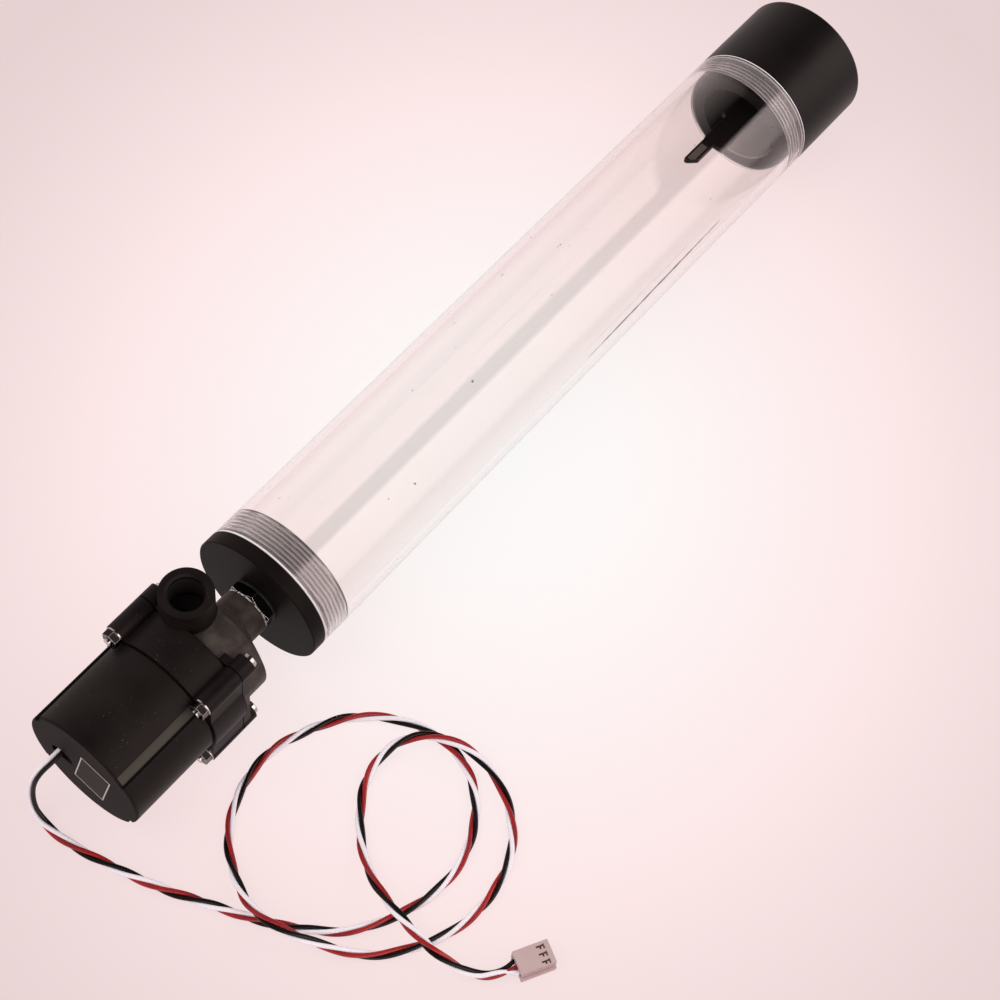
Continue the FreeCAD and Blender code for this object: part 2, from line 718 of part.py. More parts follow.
def rotor_magnet():
    x0 = (CORE_X0 + CORE_X1 - MAGNET_LENGTH) / 2
    return ring(x0, x0 + MAGNET_LENGTH, MAGNET_R, SLEEVE_R + SLIP)


def rotor_bushes():
    bore = SHAFT_R + RUNNING
    front = ring(ROTOR_X1 - BUSH_LENGTH, ROTOR_X1, BUSH_R, bore)
    rear = ring(ROTOR_X0, ROTOR_X0 + BUSH_LENGTH, BUSH_R, bore)
    return [front, rear]


def rotor_shaft():
    return rod(CAN_X - SHAFT_SEAT, HUB_X + SHAFT_SEAT, SHAFT_R)


def thrust_washers():
    bore = SHAFT_R + SLIP
    return [ring(HUB_X - THRUST, HUB_X, THRUST_R, bore), ring(CAN_X, CAN_X + THRUST, THRUST_R, bore)]


def core_rim_r():
    return HOUSING_BORE_R - CORE_GAP - CORE_RIM


def stator_core():
    outer = HOUSING_BORE_R - CORE_GAP
    rim = ring(CORE_X0, CORE_X1, outer, core_rim_r())
    span = (CORE_X0, CORE_X1)
    tooth = block(span, (-TOOTH_WIDTH / 2, TOOTH_WIDTH / 2), (0, core_rim_r() + CORE_RIM / 2))
    shoe = block(span, (-SHOE_WIDTH / 2, SHOE_WIDTH / 2), (0, CORE_BORE_R + SHOE))
    core = fused([rim] + around(fused([tooth, shoe]), POLES))
    return core.cut(rod(CORE_X0 - 1, CORE_X1 + 1, CORE_BORE_R))


def winding_frame(grow, z0, z1):
    # Box round one tooth, wider and longer than it by grow, between two heights
    return block(
        (CORE_X0 - grow, CORE_X1 + grow),
        (-TOOTH_WIDTH / 2 - grow, TOOTH_WIDTH / 2 + grow),
        (z0, z1),
    )


def winding_heights():
    # Where the bobbins start and end on a tooth, so that the coil's corners clear the rim
    half = TOOTH_WIDTH / 2 + SLIP + BOBBIN + COIL
    return CORE_BORE_R + SHOE + SLIP, math.sqrt(core_rim_r() ** 2 - half ** 2) - SLIP


def stator_bobbins():
    z0, z1 = winding_heights()
    tooth = winding_frame(SLIP, z0 - 1, z1 + 1)
    core = winding_frame(SLIP + BOBBIN, z0, z1)
    brim = SLIP + BOBBIN + COIL / 2
    inner = winding_frame(brim, z0, z0 + BOBBIN)
    outer = winding_frame(brim, z1 - BOBBIN, z1)
    return around(fused([core, inner, outer]).cut(tooth), POLES)


def stator_coils():
    z0, z1 = winding_heights()
    spool = winding_frame(SLIP + BOBBIN, z0, z1)
    coil = winding_frame(SLIP + BOBBIN + COIL, z0 + BOBBIN, z1 - BOBBIN)
    return around(coil.cut(spool), POLES)


def driver_board():
    return rod(LEDGE_X, LEDGE_X + BOARD, HOUSING_BORE_R - BOARD_GAP)


def board_parts():
    # Driver chip and capacitors behind the board, position sensor in front of it
    parts = []
    y, z = CHIP_PLACE
    parts.append(block(
        (LEDGE_X - CHIP[2], LEDGE_X),
        (y - CHIP[0] / 2, y + CHIP[0] / 2),
        (z - CHIP[1] / 2, z + CHIP[1] / 2),
    ))
    for y, z in CAPACITOR_PLACES:
        parts.append(rod(LEDGE_X - CAPACITOR[1], LEDGE_X, CAPACITOR[0], y, z))
    y, z = SENSOR_PLACE
    front = LEDGE_X + BOARD
    parts.append(block(
        (front, front + SENSOR[2]),
        (y - SENSOR[0] / 2, y + SENSOR[0] / 2),
        (z - SENSOR[1] / 2, z + SENSOR[1] / 2),
    ))
    return parts


def lead_tails():
    # The three wires between the board and the grommet
    y, z = LEAD_PLACE
    x0 = FLOOR_X + GROMMET_LIP
    return [rod(x0, LEDGE_X, TAIL_R, y + i * TAIL_PITCH, z) for i in (-1, 0, 1)]


def clamp_screws():
    screws = []
    length, width, depth = DRIVE_SLOT
    head_x = BOSS_X + SCREW_HEAD
    for y, z in bolt_places():
        head = rod(BOSS_X, head_x, SCREW_HEAD_R, y, z)
        head = head.makeFillet(SCREW_HEAD / 3, [head.Edges[0]])
        shank = rod(BOSS_X - SCREW_LENGTH, BOSS_X, SCREW_R, y, z)
        screw = fused([head, shank])
        for dy, dz in ((length, width), (width, length)):
            slot = block((head_x - depth, head_x + 1), (-dy / 2, dy / 2), (-dz / 2, dz / 2))
            slot.translate(V(0, y, z))
            screw = screw.cut(slot)
        screws.append(screw)
    return screws


def clamp_washers():
    x0 = BODY_X - WASHER
    return [ring(x0, BODY_X, WASHER_R, SCREW_HOLE_R, y, z) for y, z in bolt_places()]


def clamp_nuts():
    nuts = []
    x1 = BODY_X - WASHER
    for y, z in bolt_places():
        nut = hexagon(x1 - NUT, x1, NUT_FLATS, 0, y, z)
        nuts.append(nut.cut(rod(x1 - NUT - 1, x1 + 1, SCREW_R + SLIP, y, z)))
    return nuts


def plug_place(along, side, up=0.0):
    # A point of the connector: along its length from the rear, sideways and up
    heading = math.radians(PLUG_HEADING)
    x = PLUG_REAR[0] + along * math.cos(heading) - side * math.sin(heading)
    y = PLUG_REAR[1] + along * math.sin(heading) + side * math.cos(heading)
    return V(x, y, up)


def plug_block(along, side, up):
    # Box in the connector's own directions, placed
    box = block(along, side, up)
    box.rotate(ORIGIN, AXIS_Z, PLUG_HEADING)
    box.translate(V(PLUG_REAR[0], PLUG_REAR[1], 0))
    return box


def connector_housing():
    length, width, height = PLUG_SIZE
    half = width / 2
    ledge, ledge_height = PLUG_LEDGE
    shell = plug_block((0, length), (-half + ledge, half), (0, height))
    step = plug_block((0, length), (-half, -half + ledge), (0, ledge_height))
    shell = fused([shell, step])
    cuts = []
    bar, thin, tooth = LATCH
    for i in (-1, 0, 1):
        y = i * POCKET_PITCH
        cuts.append(plug_block(
            (-1, length + 1),
            (y - POCKET / 2, y + POCKET / 2),
            (height / 2 - POCKET / 2, height / 2 + POCKET / 2),
        ))
        back = length - LATCH_BACK
        deep = (height / 2, height + 1)
        cuts.append(plug_block((back - thin, back), (y - bar / 2 + thin, y + bar / 2 - thin), deep))
        cuts.append(plug_block((back - bar, back), (y + tooth / 2 - thin, y + tooth / 2), deep))
        cuts.append(plug_block((back - 3 * thin, back - 2 * thin), (y - tooth / 2, y + tooth / 2), deep))
    return shell.cut(cuts)


def connector_terminals():
    size, length, wall = TERMINAL
    middle = PLUG_SIZE[2] / 2
    start = (PLUG_SIZE[0] - length) / 2
    half = size / 2
    terminals = []
    for i in (-1, 0, 1):
        y = i * POCKET_PITCH
        z = (middle - POCKET / 2, middle - POCKET / 2 + size)
        outer = plug_block((start, start + length), (y - half, y + half), z)
        hollow = half - wall
        inner = plug_block(
            (start - 1, start + length + 1),
            (y - hollow, y + hollow),
            (z[0] + wall, z[1] - wall),
        )
        terminals.append(outer.cut(inner))
    return terminals


def lead_points():
    # From the grommet's outer face to the middle of the connector's rear face, which it
    # meets square on
    start = V(GROMMET_X - MIDDLE_X, LEAD_PLACE[0], LEAD_PLACE[1] + TUBE_R)
    out = start - V(LEAD_START_RUN, 0, 0)
    middle = PLUG_SIZE[2] / 2
    end = [plug_place(-LEAD_END_RUN, 0, middle), plug_place(0, 0, middle)]
    return [start, out] + [V(*point) for point in LEAD_RUNS] + end


def pump_lead():
    # Round tube of straight runs joined by tangent arcs
    points = lead_points()
    edges = []
    radii = []
    here = points[0]
    for before, corner, after in zip(points, points[1:], points[2:]):
        into = (corner - before).normalize()
        out = (after - corner).normalize()
        turn = math.acos(max(-1.0, min(1.0, into.dot(out))))
        reach = BEND_SHARE * min((corner - before).Length, (after - corner).Length)
        radius = reach / math.tan(turn / 2)
        radii.append(radius)
        first = corner - into * reach
        last = corner + out * reach
        inward = (out - into).normalize()
        middle = corner + inward * (radius / math.cos(turn / 2) - radius)
        edges.append(Part.LineSegment(here, first).toShape())
        edges.append(Part.Arc(first, middle, last).toShape())
        here = last
    edges.append(Part.LineSegment(here, points[-1]).toShape())
    path = Part.Wire(edges)
    circle = Part.makeCircle(LEAD_R, points[0], (points[1] - points[0]).normalize())
    tube = path.makePipeShell([Part.Wire(circle)], True, False)
    print("lead radii", " ".join("%.1f" % radius for radius in radii))
    section = math.pi * LEAD_R ** 2
    print("lead length %.1f, volume ratio %.4f" % (path.Length, tube.Volume / (section * path.Length)))
    return tube


def build():
    os.makedirs("parts", exist_ok=True)
    save("reservoir_tube", [reservoir_tube()])
    save("bottom_cap", [bottom_cap()])
    save("bottom_cap_oring", [cap_oring(TUBE_X0 + GLAND / 2)])
    save("top_cap", [top_cap()])
    save("top_cap_oring", [cap_oring(TUBE_X1 - GLAND / 2)])
    save("flow_baffle", [flow_baffle()])
    save("fill_plug", [fill_plug()])
    save("fill_plug_oring", [fill_plug_oring()])
    save("pump_coupler", [pump_coupler()])
    save("coupler_cap_seal", [ring(HEX_X1, 0, SEAL_R, STUB_R + SLIP)])
    save("coupler_pump_seal", [ring(NECK_X, HEX_X0, SEAL_R, STUB_R + SLIP)])
    save("volute_cover", [volute_cover()])
    save("pump_body", [pump_body()])
    save("head_seal", [head_seal()])
    save("isolation_can", [isolation_can()])
    save("motor_housing", [motor_housing()])
    save("impeller", [impeller()])
    save("rotor_sleeve", [rotor_sleeve()])
    save("rotor_magnet", [rotor_magnet()])
    save("rotor_bushes", rotor_bushes())
    save("rotor_shaft", [rotor_shaft()])
    save("thrust_washers", thrust_washers())
    save("stator_core", [stator_core()])
    save("stator_bobbins", stator_bobbins())
    save("stator_coils", stator_coils())
    save("driver_board", [driver_board()])
    save("board_parts", board_parts())
    save("lead_tails", lead_tails())
    save("clamp_screws", clamp_screws())
    save("clamp_washers", clamp_washers())
    save("clamp_nuts", clamp_nuts())
    save("rating_plate", [rating_plate(PLATE[2])])
    save("cable_grommet", [cable_grommet()])
    save("pump_lead", [pump_lead()], placed=True)
    save("connector_housing", [connector_housing()], placed=True)
    save("connector_terminals", connector_terminals(), placed=True)


build()
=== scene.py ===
"""A coolant pump reservoir, dressed for a soft studio photograph.

Everything is in metres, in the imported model's frame: +X along the tube from the pump to the
top cap, +Z up through the outlet, and z = 0 the surface that the reservoir lies on.
"""

import logging
import math
from dataclasses import dataclass
from enum import Enum
from typing import Self, Sequence

import bmesh
import bpy
from mathutils import Matrix, Vector


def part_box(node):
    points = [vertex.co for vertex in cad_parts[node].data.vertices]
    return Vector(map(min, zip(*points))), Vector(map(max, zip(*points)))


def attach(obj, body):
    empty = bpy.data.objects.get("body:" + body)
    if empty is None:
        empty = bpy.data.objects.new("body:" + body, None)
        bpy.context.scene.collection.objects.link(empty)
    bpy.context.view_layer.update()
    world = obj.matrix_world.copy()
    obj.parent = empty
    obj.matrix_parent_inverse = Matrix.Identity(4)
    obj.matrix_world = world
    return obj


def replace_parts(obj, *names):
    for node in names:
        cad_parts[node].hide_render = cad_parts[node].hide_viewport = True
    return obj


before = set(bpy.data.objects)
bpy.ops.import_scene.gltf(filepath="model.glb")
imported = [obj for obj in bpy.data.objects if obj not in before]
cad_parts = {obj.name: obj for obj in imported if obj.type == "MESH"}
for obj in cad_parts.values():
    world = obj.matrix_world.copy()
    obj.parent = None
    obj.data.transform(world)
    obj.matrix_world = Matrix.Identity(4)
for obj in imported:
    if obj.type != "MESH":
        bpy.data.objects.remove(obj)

LOG = logging.getLogger("coolant_reservoir")
MM = 0.001
AXIS_HEIGHT = 25.0 * MM
NOISE_MEAN = 0.5
UPWARD = Vector((0.0, 0.0, 1.0))

# A finish gives a noise as a pair, cells per metre and octaves, and a stretch as level and gain.
# Spots are a noise with the level over which its peaks show.
Socket = bpy.types.NodeSocket
Number = "Value | float"
Pair = tuple[float, float]
Point = tuple[float, float, float]
Face = tuple[int, ...]
Spots = tuple[float, float, float]
Colour = tuple[float, float, float, float]


def paint(red: int, green: int, blue: int) -> Colour:
    """Linear colour of a paint chip.

    Args:
        red: Red of the chip as seen on a screen, 0 to 255.
        green: Green of the chip.
        blue: Blue of the chip.

    Returns:
        The colour as the shader takes it, with an alpha of 1.
    """
    def straight(level: int) -> float:
        """Linear share of one screen level."""
        share = level / 255
        return share / 12.92 if share <= 0.04045 else ((share + 0.055) / 1.055) ** 2.4

    return (straight(red), straight(green), straight(blue), 1.0)


def held(number: float) -> float:
    """The number, held between 0 and 1."""
    return min(1.0, max(0.0, number))


class Slot(Enum):
    """The record's material slots that a made piece can have."""

    ACRYLIC = "clear_acrylic"
    NYLON = "black_nylon"
    PLATE = "plate_silver"
    WIRE = "wire_black"


@dataclass(frozen=True)
class Value:
    """A number that varies over a surface, with arithmetic that adds Math nodes."""

    shader: "Shader"
    socket: Socket

    def _math(self, operation: str, first: Number, second: Number) -> Self:
        """The result of one Math node."""
        node = self.shader.node("ShaderNodeMath", {"operation": operation}, {0: first, 1: second})
        return Value(self.shader, node.outputs[0])

    def __add__(self, other: Number) -> Self:
        """Sum."""
        return self._math("ADD", self, other)

    __radd__ = __add__

    def __sub__(self, other: Number) -> Self:
        """Difference."""
        return self._math("SUBTRACT", self, other)

    def __rsub__(self, other: float) -> Self:
        """Difference, from the right."""
        return self._math("SUBTRACT", other, self)

    def __mul__(self, other: Number) -> Self:
        """Product."""
        return self._math("MULTIPLY", self, other)

    __rmul__ = __mul__

    def __truediv__(self, other: Number) -> Self:
        """Quotient."""
        return self._math("DIVIDE", self, other)

    def __pow__(self, other: float) -> Self:
        """Power."""
        return self._math("POWER", self, other)

    def bearing(self, other: "Value") -> Self:
        """Angle, in radians, of a point this far to the side and that far ahead."""
        return self._math("ARCTAN2", self, other)

    def size(self) -> Self:
        """The number without its sign."""
        return self._math("ABSOLUTE", self, 0.0)

    def sine(self) -> Self:
        """Sine of the number, in radians."""
        return self._math("SINE", self, 0.0)

    def above(self, edge: float) -> Self:
        """1 where the number is over an edge, else 0."""
        return self._math("GREATER_THAN", self, edge)

    def below(self, edge: float) -> Self:
        """0 where the number is over an edge, else 1."""
        return 1 - self.above(edge)

    def between(self, low: float, high: float) -> Self:
        """1 between two edges, else 0."""
        return self.above(low) * self.below(high)

    def least(self, other: Number) -> Self:
        """The smaller of two numbers."""
        return self._math("MINIMUM", self, other)

    def most(self, other: Number) -> Self:
        """The larger of two numbers."""
        return self._math("MAXIMUM", self, other)

    def held(self) -> Self:
        """The number, held between 0 and 1."""
        return self.most(0.0).least(1.0)

    def stretched(self, level: float, gain: float) -> Self:
        """How far the number is over a level, times a gain."""
        return (self - level) * gain

    def reach(self, other: "Value") -> Self:
        """Distance of a point this far ahead and that far to the side."""
        return (self * self + other * other) ** 0.5


class Use(Enum):
    """What a shader is for, with its output node."""

    SURFACE = "ShaderNodeOutputMaterial"
    WORLD = "ShaderNodeOutputWorld"


class Shader:
    """The node tree of one material, or of the world."""

    FLAT = 0.985
    EDGE_SAMPLES = 8
    ROUND_SAMPLES = 4
    PLASTIC_IOR = 1.5

    def __init__(self, name: str, use: Use = Use.SURFACE) -> None:
        """Starts an empty tree.

        Args:
            name: The material's or the world's name.
            use: Which of the two it is.
        """
        kinds = bpy.data.materials if use is Use.SURFACE else bpy.data.worlds
        self.holder = kinds.new(name)
        self.holder.use_nodes = True
        self.tree = self.holder.node_tree
        self.tree.nodes.clear()
        self.output = self.tree.nodes.new(use.value)

    def node(
        self, kind: str, settings: dict | None = None, sockets: dict | None = None
    ) -> bpy.types.Node:
        """Adds a node, sets it up and feeds its sockets.

        Args:
            kind: The node's type.
            settings: Its own settings, which are set first. "stops" is a ramp's list of
                (place, colour).
            sockets: What each input gets, by name or number: a Value, an output or a constant.

        Returns:
            The new node.
        """
        node = self.tree.nodes.new(kind)
        for name, setting in (settings or {}).items():
            if name == "stops":
                ramp = node.color_ramp.elements
                for place, _ in setting[1:-1]:
                    ramp.new(place)
                for stop, (place, colour) in zip(ramp, setting):
                    stop.position = place
                    stop.color = colour
            else:
                setattr(node, name, setting)
        for name, given in (sockets or {}).items():
            if isinstance(given, Value):
                given = given.socket
            if isinstance(given, Socket):
                self.tree.links.new(given, node.inputs[name])
            else:
                node.inputs[name].default_value = given
        return node

    def place(self) -> Socket:
        """Where a point of the surface is in the piece's own frame."""
        return self.node("ShaderNodeTexCoord").outputs["Object"]

    def parts(self, vector: Socket) -> tuple[Value, Value, Value]:
        """The X, Y and Z of a vector."""
        split = self.node("ShaderNodeSeparateXYZ", sockets={0: vector})
        return tuple(Value(self, out) for out in split.outputs)

    def about_axis(self) -> tuple[Value, Value, Value, Value, Value]:
        """Where a point of the surface is about the tube's axis.

        Returns:
            Its X, Y and Z, its height over the axis and its distance from the axis.
        """
        x, y, z = self.parts(self.place())
        up = z - AXIS_HEIGHT
        return x, y, z, up, y.reach(up)

    def joined(self, x: Number, y: Number, z: Number) -> Socket:
        """A vector of three numbers."""
        return self.node("ShaderNodeCombineXYZ", sockets={0: x, 1: y, 2: z}).outputs[0]

    def noise(self, scale: float, detail: float = 2.0, vector: Socket | None = None) -> Value:
        """Soft noise from 0 to 1, at the surface's own place if no other is given."""
        given = {"Vector": vector or self.place(), "Scale": scale, "Detail": detail}
        return Value(self, self.node("ShaderNodeTexNoise", sockets=given).outputs[0])

    def spots(self, kind: Spots, vector: Socket | None = None) -> Value:
        """1 in the peaks of soft noise, else 0."""
        return self.noise(*kind[:2], vector).above(kind[2])

    def blended(self, share: Value, low: Colour | Socket, high: Colour | Socket) -> Socket:
        """A colour between two others, the first at 0 and the second at 1."""
        node = self.node("ShaderNodeMix", {"data_type": "RGBA"}, {0: share, 6: low, 7: high})
        return node.outputs[2]

    def bevelled(self, radius: float, samples: int) -> Socket:
        """The normal with sharp edges rounded by a radius, in metres."""
        bevel = self.node("ShaderNodeBevel", {"samples": samples}, {"Radius": radius})
        return bevel.outputs[0]

    def edges(self, radius: float) -> Value:
        """1 on sharp edges, 0 on the faces between them.

        Args:
            radius: How far an edge reaches, in metres.

        Returns:
            The mask.
        """
        rounded = self.bevelled(radius, self.EDGE_SAMPLES)
        flat = self.node("ShaderNodeNewGeometry").outputs["Normal"]
        both = {0: rounded, 1: flat}
        likeness = self.node("ShaderNodeVectorMath", {"operation": "DOT_PRODUCT"}, both)
        return Value(self, likeness.outputs["Value"]).below(self.FLAT)

    def relief(
        self, height: Value, depth: float, strength: float = 1.0, round_edge: float = 0.0
    ) -> Socket:
        """A normal bent by a height.

        Args:
            height: The height, 0 to 1.
            depth: What 1 stands for, in metres.
            strength: How far it is followed.
            round_edge: Radius that sharp edges are softened by, in metres.

        Returns:
            The normal.
        """
        given = {"Height": height, "Distance": depth, "Strength": strength}
        if round_edge:
            given["Normal"] = self.bevelled(round_edge, self.ROUND_SAMPLES)
        return self.node("ShaderNodeBump", sockets=given).outputs[0]

    def principled(self, **sockets: "Value | Colour | Socket | float") -> Socket:
        """A Principled shader. Names are the sockets', with underscores for spaces."""
        named = {name.replace("_", " "): given for name, given in sockets.items()}
        named.setdefault("IOR", self.PLASTIC_IOR)
        return self.node("ShaderNodeBsdfPrincipled", sockets=named).outputs[0]

    def traced(self, *kinds: str) -> Value:
        """1 for rays of any of these kinds, else 0."""
        path = self.node("ShaderNodeLightPath")
        total = Value(self, path.outputs[kinds[0]])
        for kind in kinds[1:]:
            total = total.most(Value(self, path.outputs[kind]))
        return total

    def mixed(self, share: Value, first: Socket, second: Socket) -> Socket:
        """A shader between two others, the first at 0 and the second at 1."""
        return self.node("ShaderNodeMixShader", sockets={0: share, 1: first, 2: second}).outputs[0]

    def finish(self, surface: Socket) -> bpy.types.ID:
        """Connects the surface and hands over the material or world."""
        self.tree.links.new(surface, self.output.inputs["Surface"])
        return self.holder


@dataclass(frozen=True)
class MouldedBlack:
    """Glass-filled nylon, black, with a fine moulded grain and a little dust."""

    name: str = "moulded_black"
    base: Colour = paint(22, 17, 16)
    worn: Colour = paint(34, 28, 26)
    rubbed_and_sheen: Colour = paint(92, 82, 76)
    dust_and_painted_light: Colour = paint(84, 77, 74)
    lit_groove_floor: Colour = paint(79, 73, 67)
    seam_tone: Colour = paint(0, 0, 0)
    roughness: float = 0.46
    spread: float = 0.16
    seam_matt: float = 0.4
    rear_matt: float = 0.2
    specular: float = 0.09
    grain: float = 2600.0
    grain_depth: float = 0.016 * MM
    grain_strength: float = 0.7
    cloud: Pair = (70.0, 3.0)
    cloud_stretch: Pair = (0.35, 1.6)
    scuff: Pair = (150.0, 3.0)
    scuff_stretch: Pair = (0.4, 2.6)
    rub_least: float = 0.3
    speck: Spots = (1500.0, 1.0, 0.735)
    speck_patch: Spots = (160.0, 2.0, 0.55)
    speck_share: float = 0.55
    edge: float = 0.35 * MM
    neck: Pair = (-143.5 * MM, -117.0 * MM)
    neck_radius: float = 22.0 * MM
    seam: float = -144.17 * MM
    seam_half: float = 0.24 * MM
    housing: Pair = (-192.0 * MM, -159.5 * MM)
    floor_radius: float = 21.9 * MM
    floor_half: float = 1.75 * MM
    groove_angles: Pair = (47.0, 123.0)
    collar: Pair = (-137.77 * MM, 7.0 * MM)
    collar_radius: float = 9.4 * MM
    collar_foot: float = 33.0 * MM

    def material(self) -> bpy.types.Material:
        """Builds the material."""
        shader = Shader(self.name)
        x, y, z, up, radius = shader.about_axis()
        cloud = shader.noise(*self.cloud)
        speck = shader.spots(self.speck) * shader.spots(self.speck_patch)
        scuffs = shader.noise(*self.scuff).stretched(*self.scuff_stretch).held()
        aside = (x - self.collar[0]).reach(y - self.collar[1])
        open_side = 1 - aside.below(self.collar_radius) * z.above(self.collar_foot)
        neck = x.between(*self.neck) * radius.below(self.neck_radius) * open_side
        turns = map(math.radians, self.groove_angles)
        first, second = (y * math.cos(turn) + up * math.sin(turn) for turn in turns)
        centred = (first * first).least(second * second).below(self.floor_half ** 2)
        lit_floors = x.between(*self.housing) * radius.below(self.floor_radius) * centred
        seam = x.between(self.seam - self.seam_half, self.seam + self.seam_half) * open_side
        matt = (seam * self.seam_matt).most(x.below(self.housing[0]) * self.rear_matt)
        tone = shader.blended(cloud.stretched(*self.cloud_stretch), self.base, self.worn)
        rubbed_and_sheen = neck * (scuffs * (1 - self.rub_least) + self.rub_least)
        tone = shader.blended(rubbed_and_sheen, tone, self.rubbed_and_sheen)
        tone = shader.blended(speck * self.speck_share, tone, self.dust_and_painted_light)
        # Painted light: the floors of the grooves are painted pale grey, as if lit.
        tone = shader.blended(lit_floors, tone, self.lit_groove_floor)
        tone = shader.blended(seam, tone, self.seam_tone)
        grain = shader.noise(self.grain)
        return shader.finish(shader.principled(
            Base_Color=tone,
            Roughness=self.roughness + (cloud - NOISE_MEAN) * self.spread + matt,
            Specular_IOR_Level=self.specular,
            Normal=shader.relief(grain, self.grain_depth, self.grain_strength, self.edge),
        ))


@dataclass(frozen=True)
class TurnedBlack:
    """Black acetal turned on a lathe, with fine tool lines about the tube's axis.

    With a tip given, the top of a blade's tip is painted pale from there on, a painted sheen.
    Without one, the lower wall of the top cap's hollow is painted pale, a painted light.
    """

    name: str = "turned_black"
    base: Colour = paint(17, 13, 12)
    worn: Colour = paint(29, 23, 22)
    roughness: float = 0.38
    spread: float = 0.14
    specular: float = 0.14
    lines: Pair = (5200.0, 2.0)
    line_depth: float = 0.006 * MM
    line_strength: float = 0.6
    cloud: Pair = (45.0, 3.0)
    cloud_stretch: Pair = (0.3, 1.4)
    edge: float = 0.25 * MM
    tip: float | None = None
    tip_length: float = 9.5 * MM
    tip_sheen_tone: Colour = paint(98, 88, 83)
    tip_rim: float = 0.75 * MM
    tip_across: Pair = (2.4 * MM, 2.1 * MM)
    tip_height: float = 1.0 * MM
    dust_and_painted_light: Colour = paint(138, 126, 123)
    hollow: Pair = (130.0 * MM, 16.0 * MM)
    painted_light_turn: float = 25.0
    painted_light_level: Pair = (6.0 * MM, 8.0 * MM)

    def material(self) -> bpy.types.Material:
        """Builds the material."""
        shader = Shader(self.name)
        x, y, _, up, radius = shader.about_axis()
        turned = shader.noise(*self.lines, shader.joined(x, radius, 0.0))
        cloud = shader.noise(*self.cloud)
        tone = shader.blended(cloud.stretched(*self.cloud_stretch), self.base, self.worn)
        if self.tip is None:
            # Painted light: the lower wall of the top cap's hollow is painted pale where light
            # would fall on it.
            turn = math.radians(self.painted_light_turn)
            start, depth = self.painted_light_level
            low = (-1 * up * math.cos(turn) - y * math.sin(turn) - start) / depth
            painted_light = low.held() * x.above(self.hollow[0]) * radius.below(self.hollow[1])
            tone = shader.blended(painted_light, tone, self.dust_and_painted_light)
        else:
            # Painted sheen: the top face of the blade's tip is painted pale where light would shine
            # on it.
            middle, half = self.tip_across
            rubbed_and_sheen = x.between(self.tip + self.tip_rim, self.tip + self.tip_length)
            rubbed_and_sheen = rubbed_and_sheen * (y - middle).size().below(half - self.tip_rim)
            tone = shader.blended(rubbed_and_sheen * up.above(self.tip_height), tone, self.tip_sheen_tone)
        return shader.finish(shader.principled(
            Base_Color=tone,
            Roughness=self.roughness + (turned - NOISE_MEAN) * self.spread,
            Specular_IOR_Level=self.specular,
            Normal=shader.relief(turned, self.line_depth, self.line_strength, self.edge),
        ))


